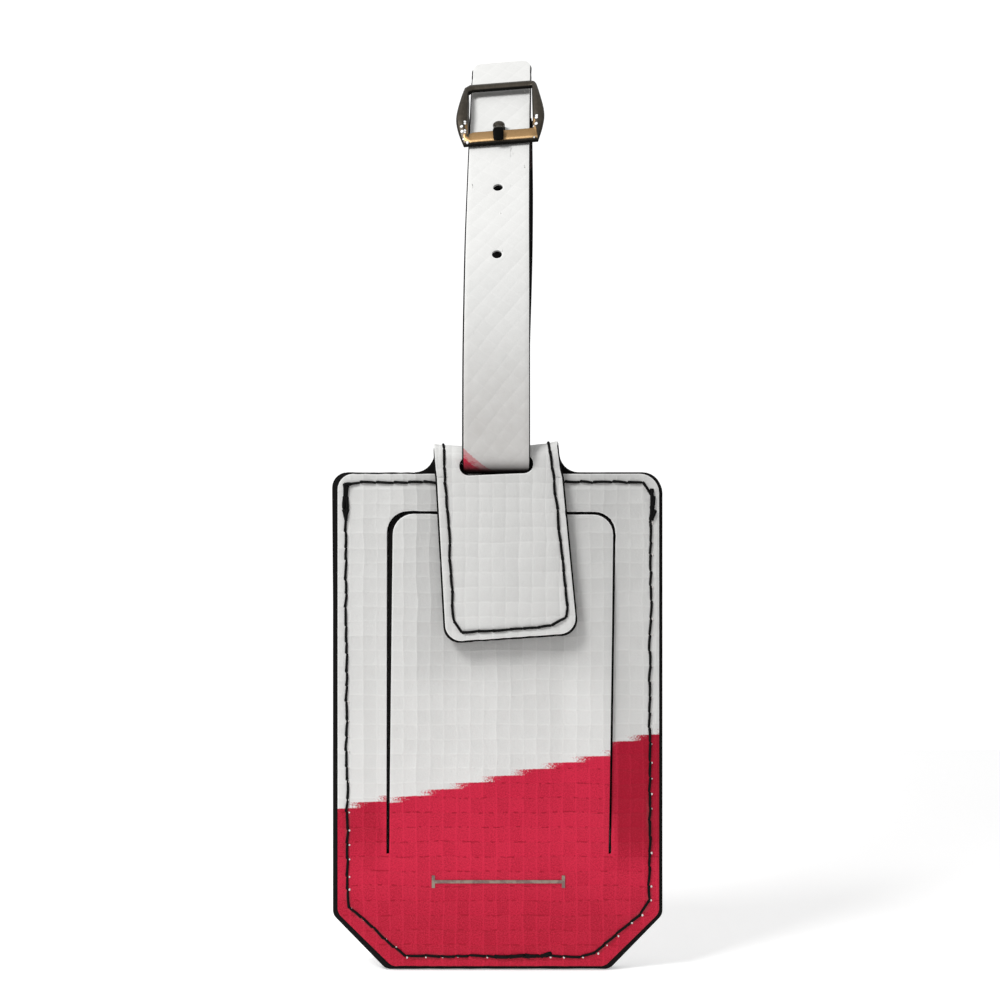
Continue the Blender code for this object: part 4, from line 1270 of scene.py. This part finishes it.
def build_strap(finishes):
    start, end = slot_round_bar()
    holes = [capsule(HOLE_RADIUS, HOLE_RADIUS * 1.001, 0, FREE_LENGTH - at) for at in FREE_HOLES_AT]
    holes.append(capsule(1.35, 1.85, 0, FREE_LENGTH - PRONG_HOLE_AT))
    holes.append(capsule(1.6, (end - start) / 2, 0, (start + end) / 2))
    for name, cad, left, right, under, finish, slot in (
        ("strap_vinyl", "strap_face", -7.0, 7.12, 0.0, "strap", "strap_vinyl"),
        ("strap_backing", "strap_lining", -STRAP_HALF, STRAP_HALF, PLY + GAP, "lining", "black_lining"),
    ):
        ends = [(left, STRAP_LENGTH, 0.6), (left, 0.0, 2.2), (right, 0.0, 2.2), (right, STRAP_LENGTH, 0.6)]
        outline = rounded(ends)
        ply = cut_sheet(name, [outline, *holes], PLY, 1.05, 0.14)
        lay(ply, on_strap, [outline, *holes], under=under)
        paint(ply, finishes[finish], slot)
        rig.ride(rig.replaces(ply, cad), "strap")
        declare(ply, outline, holes, "folded", ["back_vinyl"])


def on_rear_leg(flat):
    """The rear leg's outer face below the buckle."""
    outward = np.array([0, REAR_HEADING[2], -REAR_HEADING[1]])
    x, depth, s = flat.T
    centre = BAR + outward * 2.42
    return settled(centre + s[:, None] * REAR_HEADING + x[:, None] * ACROSS - depth[:, None] * outward)


def build_tail_stitches(finishes):
    half, low, high, corner = 5.2, -11.0, -6.2, 0.3
    box = rounded([(-half, low, corner), (half, low, corner), (half, high, corner), (-half, high, corner)], 2)
    run = stitch_run("tail_stitches", [box], on_rear_leg, 2.5, 53, closed=True, jitter=0.08)
    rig.replaces(run, "strap_tail_thread")
    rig.ride(paint(run, finishes["thread"], "sewing_thread"), "strap")


# ---------------------------------------------------------------- the buckle
def circle(count):
    """The cosine and sine of turns spread evenly round a circle."""
    return [(math.cos(math.tau * k / count), math.sin(math.tau * k / count)) for k in range(count)]


def on_buckle(local):
    """From the buckle's own (across, along, off the strap) to the drawing frame, with the strap's twist."""
    x, along, off = local.T
    centre = (ARC_END + ALONG * BUCKLE_AT)[None]
    c, d = math.cos(TWIST), math.sin(TWIST)
    across, out = ACROSS * c - OUT * d, OUT * c + ACROSS * d
    return settled(centre)[0] + x[:, None] * across + along[:, None] * ALONG + off[:, None] * out


def finish_metal(obj, material, aside, worn=None, dull=None):
    """Places a metal piece drawn in the buckle's own axes, and stores where its plating wears through to brass, partly
    as a painted reflection, and where it is painted black as shade.
    """
    local = coordinates(obj.data)
    store(obj.data, "local", local)
    for name, share in (("worn", worn), ("dull", dull)):
        store(obj.data, name, share(local) if share else np.zeros(len(local)))
    set_coordinates(obj.data, world(on_buckle(local + np.array([aside, 0, 0]))))
    return paint(shade(obj, 32), material, "gunmetal")


def lofted(name, rings, closed=False):
    """A skin over rings of equally many points, closed on itself or capped at both ends."""
    vertices = [tuple(p) for ring in rings for p in ring]
    count, width = len(rings), len(rings[0])
    faces = []
    for r in range(count if closed else count - 1):
        a, b = r * width, (r + 1) % count * width
        for k in range(width):
            n = (k + 1) % width
            faces.append((a + k, a + n, b + n, b + k))
    if not closed:
        faces += [tuple(reversed(range(width))), tuple(range((count - 1) * width, count * width))]
    return skin(name, vertices, faces)


def bevelled(obj, width, angle):
    edge = obj.modifiers.new("edges", "BEVEL")
    edge.width, edge.segments = width, 2
    edge.limit_method = "ANGLE"
    edge.angle_limit = math.radians(angle)
    return applied(obj)


def join_meshes(*objects):
    work = bmesh.new()
    name = objects[0].name
    for obj in objects:
        work.from_mesh(obj.data)
        bpy.data.objects.remove(obj, do_unlink=True)
    return new_object(name, written(work, bpy.data.meshes.new(name)))


FRAME_SIDE = [(8.5, 9.1), (9.5, 3.4), (10.45, -3.2), (10.0, -7.4), (8.75, -11.45)]
WINDOW_TOP, WINDOW_FOOT = (7.6, 6.8), (7.7, -8.4)
# the casting's cross-sections from its inner to its outer edge, as (share of the width, height)
CASTING_PROFILES = {
    "foot": ((0, 2.0), (0.05, PLATE_HIGH - 0.04), (0.84, PLATE_HIGH), (0.93, 2.0), (1, 1.7)),
    "top": ((0, 1.5), (0.1, 1.8), (0.5, PLATE_HIGH), (0.86, 2.0), (1, 1.6)),
    "side": ((0, 1.6), (0.14, 1.95), (0.5, PLATE_HIGH), (0.86, 1.95), (1, 1.5)),
}


def arch(along):
    """How far the arched frame stands off at a place along it."""
    return 1.2 * (1 - (along / 9.5) ** 2)


def frame_sections():
    """Matching points round the frame's outer and inner edges, the kind of bar, and how far in it is."""
    sections = []
    side = catmull(FRAME_SIDE, 5)
    steps = len(side) - 1
    (top_x, top), (foot_x, foot) = WINDOW_TOP, WINDOW_FOOT
    (outer_top_x, outer_top), (outer_foot_x, outer_foot) = FRAME_SIDE[0], FRAME_SIDE[-1]
    side[0] = np.array([outer_top_x - 0.22, outer_top - 0.22])
    for k in range(1, 16):
        t = 2 * k / 16 - 1
        sections.append(((outer_top_x * t, outer_top + 0.2), (top_x * t, top), "top", 0))
    for k in range(steps):
        t = k / steps
        inner = (top_x + (foot_x - top_x) * t, top + (foot - top) * t)
        sections.append((tuple(side[k]), inner, "side", min(k, steps - k)))
    for k in range(10):
        t = 1 - 2 * k / 10
        sections.append(((outer_foot_x * t, outer_foot), (foot_x * t, foot), "foot", 0))
    for k in range(steps):
        t = 1 - k / steps
        x, along = side[steps - k]
        inner = (-top_x - (foot_x - top_x) * t, top + (foot - top) * t)
        sections.append(((-x, along), inner, "side", min(k, steps - k)))
    return sections


def build_frame(metal):
    rings = []
    for outer, inner, kind, from_end in frame_sections():
        outer, inner = np.array(outer), np.array(inner)
        deepen = float(smoothstep(from_end / 4))
        ring = []
        for share, high in ((0, PLATE_LOW), *CASTING_PROFILES[kind], (1, 1.1), (0.93, PLATE_LOW)):
            x, along = inner + (outer - inner) * share
            ring.append([x, along, high + arch(along)])
        # the arms' inner walls reach down towards the strap, over the lugs
        ring[0][2] += (0.2 - ring[0][2]) * deepen
        rings.append(ring)
    casting = bevelled(lofted("buckle_casting", rings, True), 0.13, 24)
    cheeks = []
    shape = rounded([(-3.0, 2.6, 0.2), (-1.9, -5.9, 1.8), (1.9, -5.9, 1.8), (3.0, 2.6, 0.2)], 8)
    for side in (-1, 1):
        layers = [[(side * x, p.x, p.y) for p in shape] for x in (7.9, 9.1)]
        cheeks.append(bevelled(lofted(f"cheek_{side + 1}", layers), 0.18, 40))
    casting = join_meshes(casting, *cheeks)

    def worn(local):
        """Brass shows on the flat of the lower bar, and a little way up each arm: wear through the plating, and in
        part a painted warm reflection.
        """
        x, along, off = local.T
        crest = off - arch(along)
        facet = np.interp(along, (-11.3, -11.1, -8.6, -8.3), (0, 1, 1, 0))
        facet *= (crest > 2.02) * (np.abs(x) < 8.8)
        arm = smoothstep((np.abs(x) - 7.6) / 0.2) * smoothstep((8.5 - np.abs(x)) / 0.2) * (crest > 1.5)
        return np.maximum(facet, 0.9 * arm * np.interp(along, (-9.0, -8.5, -5.6, -4.6), (0, 1, 1, 0)))

    def dull(local):
        """Painted shade: black in the window's upper edge and along the lower bar's foot."""
        _, along, off = local.T
        crest = off - arch(along)
        under_top = (along > 6.0) * (along < 6.95) * (crest < 1.7)
        under_foot = (along < -10.6) * (crest < 1.8)
        return 0.93 * np.maximum(under_top, under_foot)

    finish_metal(casting, metal, FRAME_X, worn, dull)
    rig.ride(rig.replaces(casting, "buckle_frame"), "buckle")


def build_centre_bar(metal):
    end = [(-9.5, 0.2), (-9.4, 0.75), (-9.15, 1.1), (-9.0, BAR_RADIUS)]
    profile = end + [(x, BAR_RADIUS) for x in (-6, -3, 0, 3, 6)] + [(-x, r) for x, r in reversed(end)]
    rings = [[(x, radius * c, BAR_DEPTH + radius * d) for c, d in circle(24)] for x, radius in profile]
    bar = finish_metal(lofted("centre_bar_pin", rings), metal, FRAME_X)
    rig.ride(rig.replaces(bar, "buckle_centre_bar"), "buckle")


PRONG_STATIONS = [  # along, off, half width, half thickness
    (-0.5, -2.55, 0.95, 0.5),
    (-1.7, -2.45, 0.98, 0.55),
    (-3.2, -2.3, 0.98, 0.56),
    (-4.4, -1.9, 0.95, 0.56),
    (-5.0, -1.3, 0.9, 0.55),
    (-5.25, -0.5, 0.9, 0.55),
    (-5.3, 0.25, 1.1, 0.8),
    (-5.35, 0.9, 1.4, 1.02),
    (-5.7, 1.55, 1.42, 1.0),
    (-6.35, 2.0, 1.2, 0.75),
    (-7.0, 2.25, 0.85, 0.5),
    (-7.6, 2.52, 0.74, 0.42),
    (-8.1, 2.88, 0.78, 0.4),
    (-8.65, 3.1, 0.95, 0.42),
    (-9.1, 3.1, 1.26, 0.44),
    (-9.9, 2.9, 1.26, 0.43),
    (-10.7, 2.62, 1.22, 0.42),
    (-11.55, 2.3, 1.14, 0.38),
]
# painted shade: the prong's point is painted black past here, where it lies over the lower bar
PRONG_FLAT = -8.6  # the point is squarer and black past here


def build_prong(metal):
    """The prong: a ring on the bar, a neck through the strap, a shoulder, and a point on the lower bar."""
    path = catmull(PRONG_STATIONS, 3)
    rings = []
    for n, (along, off, wide, thick) in enumerate(path):
        before, after = path[max(n - 1, 0)], path[min(n + 1, len(path) - 1)]
        heading = (after - before)[:2] / np.linalg.norm((after - before)[:2])
        normal = np.array([-heading[1], heading[0]])
        flatten = 0.5 if along < PRONG_FLAT else 1.0
        ring = []
        for c, d in circle(16):
            a, b = math.copysign(abs(c) ** flatten, c), math.copysign(abs(d) ** flatten, d)
            ring.append((wide * a, along + normal[0] * thick * b, off + normal[1] * thick * b))
        rings.append(ring)
    eye = []
    for c, d in circle(32):
        out = np.array([0, c, d])
        centre = np.array([0, 0, BAR_DEPTH]) + out * 1.55
        eye.append([centre + np.array([0.76 * a, 0, 0]) + out * 0.42 * b for a, b in circle(12)])
    pin = join_meshes(lofted("buckle_pin", rings), lofted("eye", eye, True))
    finish_metal(pin, metal, PRONG_X, dull=lambda local: 0.98 * (local[:, 1] < PRONG_FLAT))
    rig.ride(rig.replaces(pin, "buckle_prong"), "prong")


# ---------------------------------------------------------------- assembly
def carry_over(finishes):
    """The CAD solids whose shape is already right, with finished materials."""
    for name, finish in (("window_sheet", "film"), ("id_card", "card"), ("foil_mark", "foil")):
        for slot in frame["nodes"][name].material_slots:
            slot.material = finishes[finish]


camera_and_stage()
finishes = {
    "front": vinyl("printed_vinyl", field_of_print(-30.0, 6.1, 36.55, 1.25), shade_span=(-14.0, 24.0, 10.0)),
    "cover": vinyl(
        "printed_vinyl_cover", field_of_print(-27.45, 6.65, 36.35, 1.234), shade_span=(-12.5, 17.4, 71.0)
    ),
    "back": vinyl("white_vinyl", origin=(1.3, 0.2)),
    "strap": vinyl(
        "strap_vinyl", strap_print, math.radians(38), cell=(3.07, 3.07), relief=0.5, painted_shade_from=CRIMSON_FROM
    ),
    "lining": lining_material(),
    "film": film_material(),
    "card": card_material(),
    "foil": foil_material(),
    "burr": burr_material(),
    "thread": thread_material(),
    "metal": gunmetal(),
}
build_holder(finishes)
build_seams(*build_folded(finishes), finishes)
build_strap(finishes)
build_tail_stitches(finishes)
build_frame(finishes["metal"])
build_centre_bar(finishes["metal"])
build_prong(finishes["metal"])
carry_over(finishes)

with open("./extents.json", "w") as sizes:
    json.dump({"cad": cad_box, "visual": [list(corner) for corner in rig.bounds()]}, sizes)
